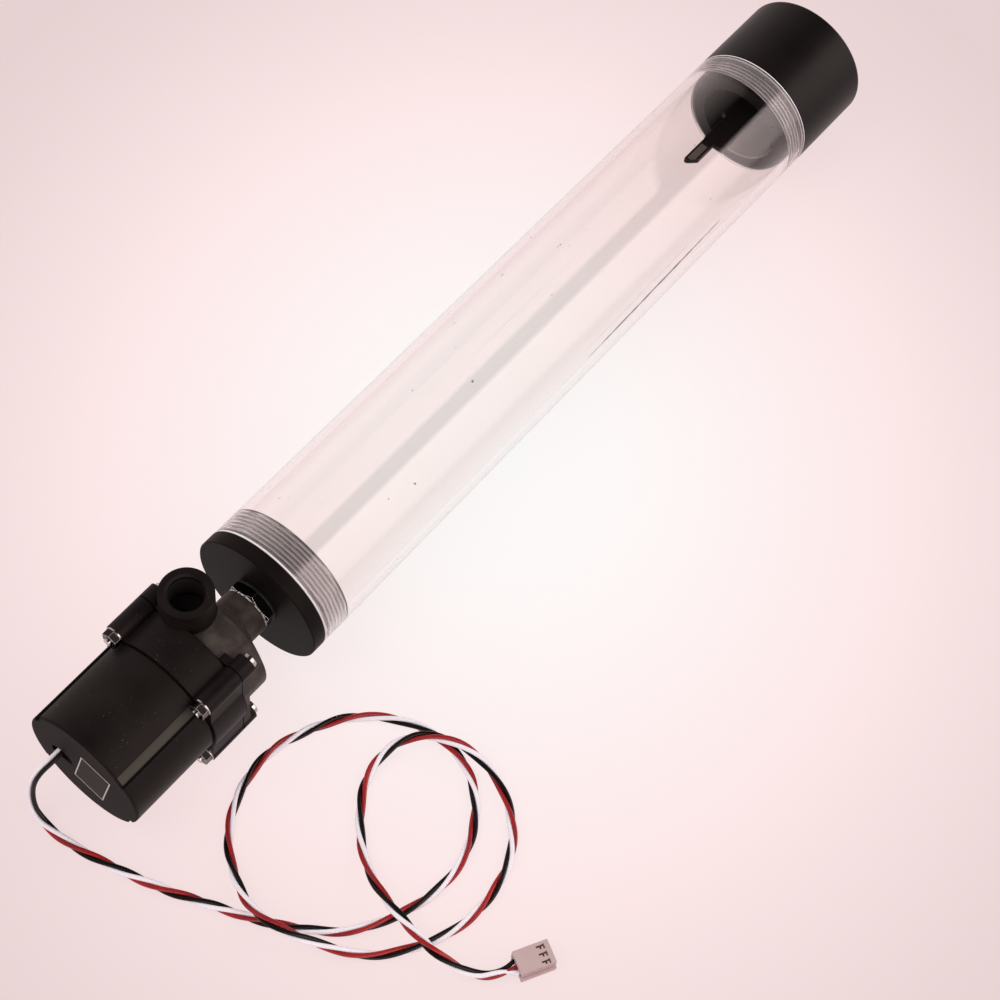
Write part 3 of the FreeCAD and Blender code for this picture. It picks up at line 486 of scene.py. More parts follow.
@dataclass(frozen=True)
class ClearAcrylic:
    """Polished clear acrylic, frosted where a tool has cut its threads and its ends."""

    name: str = "clear_acrylic"
    tint: Colour = paint(251, 248, 247)
    frost: Colour = paint(240, 232, 232)
    ior: float = 1.49
    roughness: float = 0.015
    frost_roughness: float = 0.4
    mark_roughness: float = 0.6
    scratch_roughness: float = 0.1
    haze: float = 0.05
    shade: float = 0.12
    cloud: Pair = (30.0, 2.0)
    scratches: Spots = (900.0, 2.0, 0.66)
    scratch_stretch: float = 0.05
    specks: Spots = (460.0, 1.0, 0.8)
    ends: Pair = (-108.87 * MM, 157.33 * MM)
    threads: Pair = (11.7 * MM, 9.0 * MM)
    faced: float = 0.7 * MM
    outside: float = 25.0 * MM
    skin: float = 1.0 * MM
    bore: float = 22.0 * MM
    groove: float = 0.7 * MM
    groove_margin: float = 0.21 * MM
    crest_frost: float = 0.36
    root_frost: float = 0.12
    mark_tone: Colour = paint(92, 78, 78)
    mark_reach: Pair = (28.0 * MM, 105.0 * MM)
    mark_turns: Pair = (76.9, 72.8)
    mark_noise: Pair = (160.0, 2.0)
    mark_width: float = 0.84 * MM
    mark_share: float = 0.75

    def frosting(self, shader: Shader) -> Value:
        """How far the surface is frosted.

        Args:
            shader: The material.

        Returns:
            0 for polished acrylic, 1 for white frosting.
        """
        x, _, _, _, radius = shader.about_axis()
        first, last = x - self.ends[0], self.ends[1] - x
        cut = first.below(self.threads[0]).most(last.below(self.threads[1]))
        inside = radius.below(self.bore + self.groove + self.groove_margin)
        depth = ((radius - self.bore) / self.groove).held()
        threads = cut * inside * (self.crest_frost - depth * (self.crest_frost - self.root_frost))
        return threads.most(first.least(last).below(self.faced))

    def dark_line(self, shader: Shader) -> Value:
        """A long fine dark line along the tube's outer skin, and a few specks of dust.

        Args:
            shader: The material.

        Returns:
            How far it hides the acrylic.
        """
        x, y, _, up, radius = shader.about_axis()
        start, end = self.mark_reach
        first, last = map(math.radians, self.mark_turns)
        lean = (last - first) / (end - start)
        turned = (-1 * y).bearing(up) - (x * lean + (first - start * lean))
        away = turned.size() * self.outside
        # A hump of height 1 between the mark's ends.
        along = (x - start) * (end - x) * (4 / (end - start) ** 2)
        half = (along.most(0.0) ** 0.5) * shader.noise(*self.mark_noise) * self.mark_width
        marked = (half - away).above(0.0).most(shader.spots(self.specks))
        return radius.above(self.outside - self.skin) * marked * self.mark_share

    def material(self) -> bpy.types.Material:
        """Builds the material."""
        shader = Shader(self.name)
        x, y, z = shader.parts(shader.place())
        drawn_out = shader.joined(x * self.scratch_stretch, y, z)
        scratches = shader.spots(self.scratches, drawn_out)
        cloud = shader.noise(*self.cloud)
        rough = scratches * self.scratch_roughness
        clear = shader.principled(
            Base_Color=self.tint,
            Roughness=self.roughness + scratches * cloud * self.haze,
            Transmission_Weight=1.0,
            IOR=self.ior,
        )
        frosted = shader.principled(Base_Color=self.frost, Roughness=self.frost_roughness + rough)
        marked = shader.principled(Base_Color=self.mark_tone, Roughness=self.mark_roughness - rough)
        solid = shader.mixed(self.frosting(shader), clear, frosted)
        solid = shader.mixed(self.dark_line(shader), solid, marked)
        passed = (1 - self.shade,) * 3 + (1.0,)
        unlit = shader.node("ShaderNodeBsdfTransparent", sockets={0: passed}).outputs[0]
        return shader.finish(shader.mixed(shader.traced("Is Shadow Ray"), solid, unlit))


@dataclass(frozen=True)
class Metal:
    """A bare or plated metal with fine brushing and small scratches."""

    name: str
    base: Colour
    stain: Colour
    roughness: float = 0.25
    spread: float = 0.12
    brush: Pair = (3000.0, 2.0)
    brush_stretch: float = 0.15
    brush_depth: float = 0.004 * MM
    brush_strength: float = 0.5
    cloud: Pair = (240.0, 2.0)
    edge: float = 0.12 * MM
    edge_highlight: Colour = paint(255, 252, 250)
    edge_highlight_reach: float = 0.24 * MM
    edge_highlight_share: float = 0.0

    def material(self) -> bpy.types.Material:
        """Builds the material."""
        shader = Shader(self.name)
        x, y, z = shader.parts(shader.place())
        stretch = self.brush_stretch
        brushed = shader.noise(*self.brush, shader.joined(x, y * stretch, z * stretch))
        tone = shader.blended(shader.noise(*self.cloud), self.base, self.stain)
        # Painted highlight: sharp edges are painted near white so that they show as bright lines;
        # on the black nickel they also stand for polished chamfers.
        if self.edge_highlight_share:
            tone = shader.blended(shader.edges(self.edge_highlight_reach) * self.edge_highlight_share, tone, self.edge_highlight)
        return shader.finish(shader.principled(
            Base_Color=tone,
            Metallic=1.0,
            Roughness=self.roughness + (brushed - NOISE_MEAN) * self.spread,
            Normal=shader.relief(brushed, self.brush_depth, self.brush_strength, self.edge),
        ))


@dataclass(frozen=True)
class Plain:
    """A moulded, rubber or coated surface with soft mottling and a fine skin."""

    name: str
    base: Colour
    other: Colour
    roughness: float = 0.5
    specular: float = 0.4
    cloud: float = 200.0
    spread: float = 0.1
    skin: float = 3000.0
    skin_depth: float = 0.006 * MM
    skin_strength: float = 0.6
    edge: float = 0.0
    sheen: float = 0.0
    contrast: float = 1.0

    def material(self) -> bpy.types.Material:
        """Builds the material."""
        shader = Shader(self.name)
        cloud = shader.noise(self.cloud).stretched(NOISE_MEAN, self.contrast) + NOISE_MEAN
        cloud = cloud.held()
        skin = shader.noise(self.skin)
        return shader.finish(shader.principled(
            Base_Color=shader.blended(cloud, self.base, self.other),
            Roughness=self.roughness + (cloud - NOISE_MEAN) * self.spread,
            Specular_IOR_Level=self.specular,
            Sheen_Weight=self.sheen,
            Normal=shader.relief(skin, self.skin_depth, self.skin_strength, self.edge),
        ))


@dataclass(frozen=True)
class Stacked:
    """Sheets or turns of wire lying side by side along the tube's axis."""

    name: str
    base: Colour
    gap: Colour
    pitch: float
    depth: float
    roughness: float = 0.35
    spread: float = 0.1
    cloud: float = 500.0

    def material(self) -> bpy.types.Material:
        """Builds the material."""
        shader = Shader(self.name)
        x, _, _ = shader.parts(shader.place())
        wave = ((x * (2 * math.pi / self.pitch)).sine() + 1.0) * 0.5
        return shader.finish(shader.principled(
            Base_Color=shader.blended(wave ** 0.5, self.gap, self.base),
            Metallic=1.0,
            Roughness=self.roughness + shader.noise(self.cloud) * self.spread,
            Normal=shader.relief(wave, self.depth),
        ))


class Finishes:
    """Every finish of the reservoir, made once each."""

    def __init__(self) -> None:
        """Builds the materials."""
        recipes = (
            ClearAcrylic(),
            TurnedBlack(),
            TurnedBlack("faced_black", roughness=0.5, specular=0.05),
            TurnedBlack("baffle_black", tip=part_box("flow_baffle")[0].x),
            MouldedBlack(),
            Metal("black_nickel", paint(56, 52, 52), paint(40, 37, 37), 0.1, edge_highlight_share=0.9),
            Metal("dark_zinc", paint(30, 27, 27), paint(20, 18, 18), 0.12, edge_highlight_share=0.22),
            Metal("bright_zinc", paint(206, 202, 198), paint(172, 168, 164), 0.2),
            Metal("ground_steel", paint(205, 205, 208), paint(186, 186, 190), 0.22),
            Metal("tinned_contact", paint(216, 213, 205), paint(190, 186, 176), 0.3),
            Plain("seal_rubber", paint(24, 23, 23), paint(36, 34, 34), 0.55, 0.3, sheen=0.05),
            # Painted highlight: the clear seal is painted white in broken patches, so that it shows
            # as a bright broken ring.
            Plain(
                "clear_seal", paint(90, 86, 84), paint(255, 255, 255), 0.15, 0.5, 900.0,
                contrast=5.0,
            ),
            Plain("carbon_bush", paint(48, 48, 50), paint(60, 60, 63), 0.5),
            Plain("rotor_moulding", paint(58, 58, 60), paint(72, 72, 75), 0.4),
            Plain("ferrite_magnet", paint(74, 72, 72), paint(92, 90, 90), 0.6),
            Plain("bobbin_nylon", paint(224, 220, 206), paint(206, 200, 186), 0.45),
            Stacked("core_sheets", paint(150, 152, 156), paint(70, 70, 74), 0.5 * MM, 0.03 * MM),
            Stacked("copper_turns", paint(196, 112, 62), paint(90, 40, 18), 0.4 * MM, 0.1 * MM),
            Plain("solder_mask", paint(22, 92, 52), paint(30, 116, 66), 0.3, 0.5, 400.0),
            Plain("part_packages", paint(40, 40, 42), paint(56, 56, 58), 0.5),
            Plain("grommet_rubber", paint(22, 20, 20), paint(30, 27, 27), 0.6, 0.25),
            Plain("bare_plate", paint(30, 26, 25), paint(40, 35, 34), 0.6, 0.12, 900.0),
            Plain("plate_line", paint(186, 180, 176), paint(160, 154, 150), 0.3, 0.5),
            Plain(
                "beige_nylon", paint(204, 176, 174), paint(190, 163, 161), 0.42, 0.35, 120.0,
                edge=0.25 * MM,
            ),
            Plain(
                "red_wire", paint(172, 28, 30), paint(132, 18, 22), 0.32, 0.45, 90.0, contrast=2.0
            ),
            Plain("black_wire", paint(11, 8, 9), paint(18, 14, 15), 0.36, 0.24, 90.0),
            Plain("white_wire", paint(255, 248, 253), paint(240, 230, 238), 0.34, 0.5, 90.0),
        )
        self.made = {recipe.name: recipe.material() for recipe in recipes}

    def __getitem__(self, name: str) -> bpy.types.Material:
        """The material of one finish."""
        return self.made[name]

    def dress(self, finish: str, *nodes: str) -> None:
        """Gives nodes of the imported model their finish.

        Args:
            finish: The finish.
            nodes: The nodes.
        """
        for node in nodes:
            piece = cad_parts[node]
            piece.data.materials.clear()
            piece.data.materials.append(self[finish])
            LOG.info("%s dressed in %s", node, finish)


class Workshop:
    """Makes meshes and places them on the model."""

    @staticmethod
    def placed(thing: bpy.types.Object) -> bpy.types.Object:
        """Puts a thing into the scene."""
        bpy.context.scene.collection.objects.link(thing)
        return thing

    @staticmethod
    def piece(data: bpy.types.Mesh, slot: Slot) -> bpy.types.Object:
        """Puts a mesh on the model's fixed body.

        Args:
            data: The mesh, which has the piece's name.
            slot: The record's material slot. Not used.

        Returns:
            The piece.
        """
        thing = Workshop.placed(bpy.data.objects.new(data.name, data))
        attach(thing, "root")
        LOG.info("%s made", data.name)
        return thing

    @staticmethod
    def mesh(
        name: str,
        points: Sequence[Point],
        faces: Sequence[Face],
        finishes: Sequence[bpy.types.Material],
        sharp: float | None = None,
    ) -> bpy.types.Mesh:
        """A mesh with its faces turned outward.

        Args:
            name: The mesh's name.
            points: Its corners.
            faces: Its faces, as corner numbers.
            finishes: Its materials.
            sharp: Degrees over which an edge stays sharp. Flat shaded if left out.

        Returns:
            The mesh.
        """
        data = bpy.data.meshes.new(name)
        data.from_pydata(points, [], faces)
        work = bmesh.new()
        work.from_mesh(data)
        bmesh.ops.recalc_face_normals(work, faces=work.faces)
        work.to_mesh(data)
        work.free()
        data.polygons.foreach_set("use_smooth", [sharp is not None] * len(data.polygons))
        if sharp is not None:
            data.set_sharp_from_angle(angle=math.radians(sharp))
        for finish in finishes:
            data.materials.append(finish)
        return data

    @staticmethod
    def swept(rings: Sequence[Sequence[Point]], closed: bool) -> tuple[list[Point], list[Face]]:
        """Joins rings of equal length with four-sided faces.

        Args:
            rings: The rings, in order.
            closed: Whether the last ring joins the first. Else both ends are capped.

        Returns:
            The corners and faces.
        """
        count = len(rings[0])
        points = [point for ring in rings for point in ring]
        faces: list[Face] = []
        for i in range(len(rings) if closed else len(rings) - 1):
            here, there = i * count, (i + 1) % len(rings) * count
            for j in range(count):
                k = (j + 1) % count
                faces.append((here + j, here + k, there + k, there + j))
        if not closed:
            faces.append(tuple(range(count)))
            faces.append(tuple(range(len(points) - count, len(points))))
        return points, faces


@dataclass
class ClearTube:
    """The reservoir's tube, with a cut thread inside each end."""

    finishes: Finishes
    wall: float = 3.0 * MM
    pitch: float = 1.5 * MM
    threads: Pair = (11.9 * MM, 8.9 * MM)
    run_in: Pair = (1.0 * MM, 0.5 * MM)
    run_out: float = 0.6 * MM
    depth: float = 0.7 * MM
    groove_half: float = 0.42
    groove_gain: float = 1.25
    edge: float = 0.3 * MM
    past_thread: float = 1.0 * MM
    fine: float = 0.125 * MM
    steps: int = 160
    sharp: float = 40.0

    def bore_offset(self, into: float, turn: float, thread: float) -> float:
        """How far the thread cuts into the wall.

        Args:
            into: Distance in from the tube's end.
            turn: Share of a full turn about the axis.
            thread: Where the thread of that end stops.

        Returns:
            The depth of the cut there.
        """
        if into < self.edge:
            return self.edge - into
        fade = held((into - self.run_in[0]) / self.run_in[1]) * held((thread - into) / self.run_out)
        phase = (into / self.pitch + turn) % 1.0
        groove = 1 - abs(phase - 0.5) / self.groove_half
        return self.depth * fade * held(self.groove_gain * groove)

    def build(self) -> None:
        """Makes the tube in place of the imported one."""
        low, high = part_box("reservoir_tube")
        radius, length = (high.z - low.z) / 2, high.x - low.x
        centre = (low.z + high.z) / 2
        count = int((max(self.threads) + self.past_thread) / self.fine)
        ends = [i * self.fine for i in range(count)]
        stations = ends + [length / 2] + [length - s for s in reversed(ends)]
        e = self.edge
        skin = ((length, e), (length - e, 0.0), (length / 2, 0.0), (e, 0.0), (0.0, e))
        rings = []
        for i in range(self.steps):
            turn = i / self.steps
            outline = []
            for s in stations:
                near = s < length / 2
                into, hand = (s, turn) if near else (length - s, -turn)
                cut = self.bore_offset(into, hand, self.threads[0 if near else 1])
                outline.append((s, radius - self.wall + cut))
            outline += [(s, radius - inset) for s, inset in skin]
            angle = 2 * math.pi * turn
            rings.append([
                (low.x + s, r * math.sin(angle), centre + r * math.cos(angle)) for s, r in outline
            ])
        shape = Workshop.swept(rings, True)
        data = Workshop.mesh("clear_tube", *shape, [self.finishes["clear_acrylic"]], self.sharp)
        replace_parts(Workshop.piece(data, Slot.ACRYLIC), "reservoir_tube")


@dataclass
class Reservoir:
    """The tube with its caps, seals, baffle and fill plug."""

    finishes: Finishes

    def build(self) -> None:
        """Makes the tube and dresses the caps and what they hold."""
        ClearTube(self.finishes).build()
        self.finishes.dress("faced_black", "bottom_cap")
        self.finishes.dress("turned_black", "top_cap", "fill_plug")
        self.finishes.dress("baffle_black", "flow_baffle")
        self.finishes.dress("seal_rubber", "bottom_cap_oring", "top_cap_oring", "fill_plug_oring")


@dataclass
class PortThread:
    """The thread inside the outlet collar."""

    finishes: Finishes
    crest: float = 5.55 * MM
    root: float = 5.93 * MM
    pitch: float = 1.337 * MM
    turns: int = 7
    run_out: float = 0.25
    crest_half: float = 0.108
    root_half: float = 0.45
    below: float = 1.5 * MM
    centre: Pair = (-137.77 * MM, 7.0 * MM)
    steps: int = 64
    sharp: float = 30.0

    def build(self) -> None:
        """Makes the thread's ridge, wound down from just under the collar's mouth."""
        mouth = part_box("volute_cover")[1].z - self.below
        foot, head = self.root_half, self.crest_half
        rings = []
        for i in range(self.steps * self.turns + 1):
            share = i / self.steps
            angle = 2 * math.pi * share
            height = mouth - self.pitch * share
            fade = min(1.0, share / self.run_out, (self.turns - share) / self.run_out)
            crest = self.root - (self.root - self.crest) * fade
            section = ((self.root, foot), (crest, head), (crest, -head), (self.root, -foot))
            rings.append([
                (
                    self.centre[0] + r * math.cos(angle),
                    self.centre[1] - r * math.sin(angle),
                    height + rise * self.pitch,
                )
                for r, rise in section
            ])
        shape = Workshop.swept(rings, False)
        data = Workshop.mesh("outlet_thread", *shape, [self.finishes["moulded_black"]], self.sharp)
        Workshop.piece(data, Slot.NYLON)


@dataclass
class PlateLine:
    """The bright line round the bare plate in the pump's rear face."""

    finishes: Finishes
    width: float = 12.7 * MM
    height: float = 22.0 * MM
    line: float = 0.45 * MM
    inset: float = 0.2 * MM
    lift: float = 0.03 * MM
    centre: Pair = (-3.4 * MM, 23.9 * MM)
    turn: float = 13.4

    def build(self) -> None:
        """Makes the line as a thin raised frame."""
        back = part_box("rating_plate")[0].x
        corners = ((-1, -1), (1, -1), (1, 1), (-1, 1))
        angle = math.radians(self.turn)
        points: list[Point] = []
        for depth in (0.0, -self.lift):
            for inset in (self.inset, self.inset + self.line):
                for sy, sz in corners:
                    y = sy * (self.width / 2 - inset)
                    z = sz * (self.height / 2 - inset)
                    points.append((
                        back + depth,
                        self.centre[0] + y * math.cos(angle) - z * math.sin(angle),
                        self.centre[1] + y * math.sin(angle) + z * math.cos(angle),
                    ))
        faces = []
        for i in range(4):
            j = (i + 1) % 4
            for a, b in ((0, 4), (4, 12), (12, 8), (8, 0)):
                faces.append((a + i, a + j, b + j, b + i))
        data = Workshop.mesh("plate_line", points, faces, [self.finishes["plate_line"]])
        Workshop.piece(data, Slot.PLATE)


@dataclass
class Pump:
    """The canned-rotor pump, as rows of a finish and the nodes that have it."""

    finishes: Finishes
    dressed: tuple[tuple[str, ...], ...] = (
        ("black_nickel", "pump_coupler"),
        ("seal_rubber", "coupler_cap_seal", "head_seal"),
        ("clear_seal", "coupler_pump_seal"),
        ("moulded_black", "volute_cover", "pump_body", "motor_housing"),
        ("rotor_moulding", "isolation_can", "impeller", "rotor_sleeve"),
        ("ferrite_magnet", "rotor_magnet"),
        ("carbon_bush", "rotor_bushes", "thrust_washers"),
        ("ground_steel", "rotor_shaft"),
        ("core_sheets", "stator_core"),
        ("bobbin_nylon", "stator_bobbins"),
        ("copper_turns", "stator_coils"),
        ("solder_mask", "driver_board"),
        ("part_packages", "board_parts"),
        ("black_wire", "lead_tails"),
        ("bright_zinc", "clamp_screws", "clamp_washers"),
        ("dark_zinc", "clamp_nuts"),
        ("bare_plate", "rating_plate"),
        ("grommet_rubber", "cable_grommet"),
    )

    def build(self) -> None:
        """Dresses the pump and adds its small details."""
        for row in self.dressed:
            self.finishes.dress(*row)
        PortThread(self.finishes).build()
        PlateLine(self.finishes).build()


@dataclass
class TwistedLead:
    """Three insulated wires twisted together, from the grommet to the connector."""

    finishes: Finishes
    route: tuple[Point, ...] = (
        (-0.19193, 0.0104, 0.0230),
        (-0.1967, 0.0104, 0.0230), (-0.2007, 0.0114, 0.0208), (-0.2034, 0.0123, 0.0164),
        (-0.2051, 0.0123, 0.0111), (-0.2067, 0.0107, 0.0060), (-0.2079, 0.0066, 0.0024),
        (-0.2081, 0.0009, 0.0015), (-0.2076, -0.0064, 0.0015), (-0.2045, -0.0210, 0.0015),
        (-0.1995, -0.0380, 0.0015), (-0.1935, -0.0525, 0.0015), (-0.1885, -0.0655, 0.0015),
        (-0.1815, -0.0785, 0.0015), (-0.1730, -0.0905, 0.0015), (-0.1605, -0.0980, 0.0015),
        (-0.1465, -0.1030, 0.0015), (-0.1315, -0.1035, 0.0015), (-0.1155, -0.0965, 0.0015),
        (-0.1050, -0.0845, 0.0015), (-0.1025, -0.0690, 0.0015), (-0.1070, -0.0550, 0.0015),
        (-0.1165, -0.0430, 0.0015), (-0.1300, -0.0355, 0.0015), (-0.1450, -0.0310, 0.0015),
        (-0.1620, -0.0340, 0.0015), (-0.1755, -0.0425, 0.0015), (-0.1840, -0.0550, 0.0040),
        (-0.1880, -0.0650, 0.0075), (-0.1865, -0.0770, 0.0075), (-0.1815, -0.0875, 0.0040),
        (-0.1750, -0.1000, 0.0015), (-0.1635, -0.1095, 0.0015), (-0.1500, -0.1160, 0.0015),
        (-0.1350, -0.1175, 0.0015), (-0.1190, -0.1140, 0.0015), (-0.1075, -0.1040, 0.0015),
        (-0.1015, -0.0915, 0.0040), (-0.1020, -0.0780, 0.0075), (-0.1080, -0.0660, 0.0075),
        (-0.1175, -0.0600, 0.0040), (-0.1305, -0.0610, 0.0015), (-0.1435, -0.0700, 0.0015),
        (-0.1530, -0.0810, 0.0045), (-0.1585, -0.0935, 0.0075), (-0.1615, -0.1145, 0.0075),
        (-0.1595, -0.1240, 0.0040), (-0.1569, -0.1310, 0.0029), (-0.1521, -0.1351, 0.0029),
        (-0.1470, -0.1379, 0.0029),
    )
    length: float = 0.62
    bundle: float = 3.0 * MM
    wire: float = 0.76 * MM
    winding: tuple[Pair, ...] = (
        (27.2, 0.0), (50.5, 0.68), (65.0, 1.17), (80.5, 1.67), (95.0, 2.17), (110.0, 2.64),
        (125.0, 3.11), (138.0, 3.41), (153.0, 3.72), (169.5, 4.17), (185.5, 4.57), (200.0, 5.08),
        (215.5, 5.6), (254.5, 6.59), (266.0, 6.95), (276.5, 7.31), (307.5, 8.27), (326.0, 8.8),
        (338.0, 9.18), (349.5, 9.53), (366.0, 10.04), (385.0, 10.52), (420.5, 11.35),
        (431.5, 11.71), (442.0, 12.06), (454.0, 12.43), (471.0, 12.92), (488.5, 13.4),
        (503.5, 13.82), (515.5, 14.24), (530.5, 14.75), (547.5, 15.27), (565.0, 15.72),
        (578.5, 16.17), (591.0, 16.63), (605.0, 17.09), (640.0, 18.15),
    )
    open_side: Point = (-0.16, -0.33, 0.93)
    last_order: tuple[int, int, int] = (-1, 1, 0)
    order: int = 3
    resolution: int = 24
    step: float = 0.9 * MM
    sides: int = 12
    sharp: float = 180.0
    fan: float = 11.0 * MM
    pocket_pitch: float = 2.54 * MM

    def line(self) -> list[Vector]:
        """Points evenly spaced along the route's own smooth curve.

        Returns:
            The points.
        """
        curve = bpy.data.curves.new("lead_route", "CURVE")
        curve.dimensions = "3D"
        spline = curve.splines.new("NURBS")
        spline.points.add(len(self.route) - 1)
        for point, place in zip(spline.points, self.route):
            point.co = (*place, 1.0)
        spline.order_u = self.order
        spline.use_endpoint_u = True
        spline.resolution_u = self.resolution
        holder = bpy.data.objects.new("lead_route", curve)
        traced = bpy.data.meshes.new_from_object(holder)
        dense = [vertex.co.copy() for vertex in traced.vertices]
        bpy.data.objects.remove(holder)
        even = [dense[0]]
        carried = 0.0
        for a, b in zip(dense, dense[1:]):
            run = (b - a).length
            while carried + run >= self.step:
                a = a + (b - a) * ((self.step - carried) / run)
                even.append(a.copy())
                run = (b - a).length
                carried = 0.0
            carried += run
        even.append(dense[-1])
        return even

    def turns(self, along: float) -> float:
        """How often the wires have gone round, at a distance along the lead."""
        for (start, low), (end, high) in zip(self.winding, self.winding[1:]):
            if start * MM <= along < end * MM:
                return low + (high - low) * (along / MM - start) / (end - start)
        return 0.0

    @staticmethod
    def heading(path: list[Vector], i: int) -> Vector:
        """The way that a path runs at one of its points."""
        return (path[min(i + 1, len(path) - 1)] - path[max(i - 1, 0)]).normalized()

    @staticmethod
    def spoke(ahead: Vector, side: Vector, angle: float) -> Vector:
        """The way out from a path, turned from its side by an angle."""
        return side * math.cos(angle) + ahead.cross(side) * math.sin(angle)

    def strands(self, line: list[Vector]) -> list[list[Vector]]:
        """Winds three wires round the line, untwisted at first and fanned out at its end.

        Args:
            line: The bundle's centreline.

        Returns:
            Each wire's own centreline.
        """
        reach = self.wire / math.cos(math.pi / 6)
        total = len(line) - 1
        wires: list[list[Vector]] = [[], [], []]
        side = Vector(self.open_side)
        for i, place in enumerate(line):
            ahead = self.heading(line, i)
            turned = self.turns(i * self.step)
            if not turned:
                side = ahead.cross(Vector(self.open_side))
            side = (side - ahead * side.dot(ahead)).normalized()
            level = UPWARD.cross(ahead).normalized()
            end = max(0.0, 1 - (total - i) * self.step / self.fan) ** 2
            for k, path in enumerate(wires):
                wound = self.spoke(ahead, side, -2 * math.pi * (k / 3 + turned)) * reach
                fanned = level * (end * self.pocket_pitch * self.last_order[k])
                laid = place + wound * (1 - end) + fanned
                laid.z = max(laid.z, self.wire)
                path.append(laid)
        return wires

    def build(self) -> None:
        line = self.line()
        rims: list[Point] = []
        faces: list[Face] = []
        shades: list[int] = []
        angles = [2 * math.pi * j / self.sides for j in range(self.sides)]
        for number, path in enumerate(self.strands(line)):
            rings = []
            side = UPWARD
            for i, place in enumerate(path):
                ahead = self.heading(path, i)
                side = (side - ahead * side.dot(ahead)).normalized()
                spokes = (self.spoke(ahead, side, angle) for angle in angles)
                rings.append([tuple(place + spoke * self.wire) for spoke in spokes])
            points, made = Workshop.swept(rings, False)
            faces += [tuple(len(rims) + corner for corner in face) for face in made]
            rims += points
            shades += [number] * len(made)
        colours = [self.finishes[name] for name in ("white_wire", "black_wire", "red_wire")]
        data = Workshop.mesh("twisted_lead", rims, faces, colours, self.sharp)
        data.polygons.foreach_set("material_index", shades)
        lead = Workshop.piece(data, Slot.WIRE)
        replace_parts(lead, "pump_lead")
        self.finishes.dress("beige_nylon", "connector_housing")
        self.finishes.dress("tinned_contact", "connector_terminals")


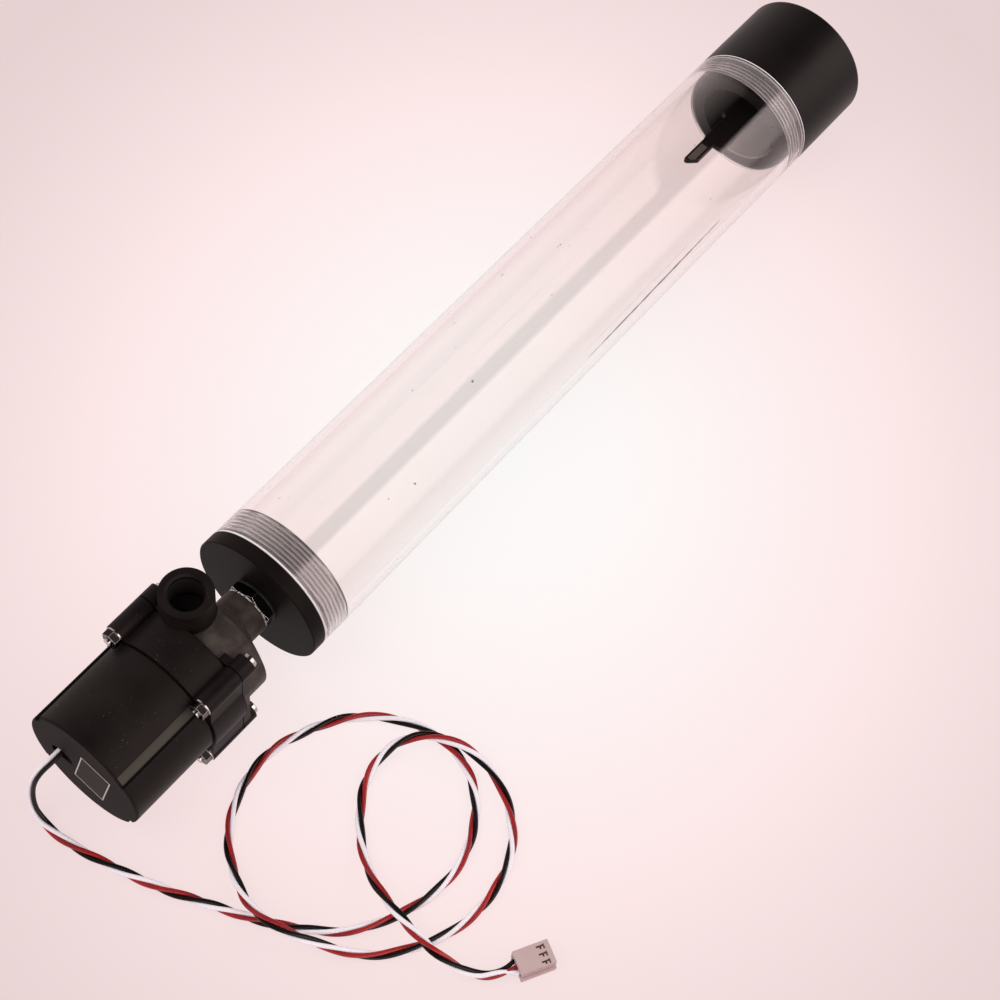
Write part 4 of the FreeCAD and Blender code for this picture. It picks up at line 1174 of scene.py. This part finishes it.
@dataclass
class Studio:
    """Pale floor, soft light and the photograph's camera."""

    floor_light_pool_tones: tuple[tuple[float, Colour], ...] = (
        (0.0, paint(254, 252, 252)), (0.175, paint(254, 250, 249)), (0.385, paint(254, 241, 241)),
        (0.595, paint(252, 231, 231)), (0.68, paint(246, 226, 226)), (0.875, paint(235, 215, 215)),
        (1.0, paint(230, 210, 210)),
    )
    light_pool_centre: Pair = (-0.0057, -0.0192)
    spread: Pair = (0.2436, 0.2838)
    shadow_share: float = 0.14
    floor_half: float = 6.0
    floor_drop: float = 0.02 * MM
    floor_roughness: float = 0.9
    air: Colour = (1.0, 0.955, 0.95, 1.0)
    air_level: float = 0.72
    panel_tint: Colour = (1.0, 0.84, 0.83, 1.0)
    right_panel: tuple[float, float, float] = (0.56, 1.45, 3.6)
    panel_sharpness: float = 7.0
    left_panel: Pair = (0.1, 1.25)
    dark_level: float = 0.02
    azimuth: float = -58.688
    elevation: float = 60.524
    roll: float = 9.166
    camera_place: Point = (-0.361525, -0.235445, 0.705864)
    focal: float = 84.39
    sensor: float = 36.0
    lamps: tuple[tuple[str, Point, float, float], ...] = (
        ("key_lamp", (-0.9, 0.5, 1.5), 1.2, 9.0),
        ("fill_lamp", (1.1, -0.9, 1.3), 1.4, 6.0),
    )

    def camera(self) -> None:
        """Places the camera as the photograph was taken."""
        azimuth, elevation, roll = map(math.radians, (self.azimuth, self.elevation, self.roll))
        back = Vector((
            math.sin(azimuth) * math.cos(elevation),
            -math.cos(azimuth) * math.cos(elevation),
            math.sin(elevation),
        ))
        level = UPWARD.cross(back).normalized()
        up = back.cross(level)
        right = level * math.cos(roll) + up * math.sin(roll)
        upright = up * math.cos(roll) - level * math.sin(roll)
        lens = bpy.data.cameras.new("photo_camera")
        lens.lens = self.focal
        lens.sensor_width = self.sensor
        view = Workshop.placed(bpy.data.objects.new("photo_camera", lens))
        turn = Matrix((right, upright, back)).transposed().to_4x4()
        view.matrix_world = Matrix.Translation(self.camera_place) @ turn
        bpy.context.scene.camera = view

    def floor(self) -> None:
        """Lays the pale floor with a painted pool of light, lightest under the reservoir's middle.
        """
        shader = Shader("studio_floor")
        x, y, _ = shader.parts(shader.place())
        dx, dy = x - self.light_pool_centre[0], y - self.light_pool_centre[1]
        turn = math.radians(self.azimuth)
        across = (dx * math.cos(turn) + dy * math.sin(turn)) / self.spread[0]
        along = (dy * math.cos(turn) - dx * math.sin(turn)) / self.spread[1]
        away = across.reach(along).least(1.0)
        # Painted pool of light: pale at the middle, greyer and pinker towards the edges.
        ramp = shader.node("ShaderNodeValToRGB", {"stops": self.floor_light_pool_tones}, {0: away})
        tone = ramp.outputs[0]
        matt = shader.principled(
            Base_Color=tone, Roughness=self.floor_roughness, Specular_IOR_Level=0.0
        )
        glow = shader.node("ShaderNodeEmission", sockets={"Color": tone}).outputs[0]
        seen = shader.traced("Is Camera Ray", "Is Glossy Ray", "Is Transmission Ray")
        surface = shader.mixed(seen * (1 - self.shadow_share), matt, glow)
        half = self.floor_half
        corners = [(-half, -half, 0.0), (half, -half, 0.0), (half, half, 0.0), (-half, half, 0.0)]
        data = Workshop.mesh("studio_floor", corners, [(0, 1, 2, 3)], [shader.finish(surface)])
        floor = Workshop.placed(bpy.data.objects.new("studio_floor", data))
        floor.location.z = -self.floor_drop

    def world(self) -> None:
        """Fills the room with even light, and gives glossy surfaces two panels to mirror."""
        shader = Shader("studio_world", Use.WORLD)
        _, y, z = shader.parts(shader.node("ShaderNodeTexCoord").outputs["Generated"])
        slope, low, high = self.right_panel
        right = ((-1 * y - z * slope) * self.panel_sharpness).held() * (low + z * (high - low))
        edge, strength = self.left_panel
        left = (y - edge).most(0.0) * strength
        mirrored = right.most(left) + self.dark_level
        glossy = shader.traced("Is Glossy Ray")
        level = self.air_level + glossy * (mirrored - self.air_level)
        seen = shader.traced("Is Camera Ray")
        colour = shader.blended(glossy, self.air, self.panel_tint)
        colour = shader.blended(seen, colour, self.floor_light_pool_tones[-1][1])
        given = {"Color": colour, "Strength": level + seen * (1 - level)}
        room = shader.node("ShaderNodeBackground", sockets=given).outputs[0]
        bpy.context.scene.world = shader.finish(room)

    def light(self) -> None:
        """Hangs the soft lamps."""
        for name, place, size, power in self.lamps:
            lamp = bpy.data.lights.new(name, "AREA")
            lamp.shape = "DISK"
            lamp.size = size
            lamp.energy = power
            thing = Workshop.placed(bpy.data.objects.new(name, lamp))
            aim = (-Vector(place)).to_track_quat("-Z", "Y").to_matrix().to_4x4()
            thing.matrix_world = Matrix.Translation(place) @ aim
            thing.visible_glossy = False
            thing.visible_transmission = False
        bpy.context.scene.view_settings.view_transform = "Standard"


def main() -> None:
    """Builds the studio and every sub-assembly."""
    logging.basicConfig(level=logging.INFO, format="%(message)s")
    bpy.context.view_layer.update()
    studio = Studio()
    studio.camera()
    finishes = Finishes()
    TwistedLead(finishes).build()
    Reservoir(finishes).build()
    Pump(finishes).build()
    studio.floor()
    studio.world()
    studio.light()


if __name__ == "__main__":
    main()
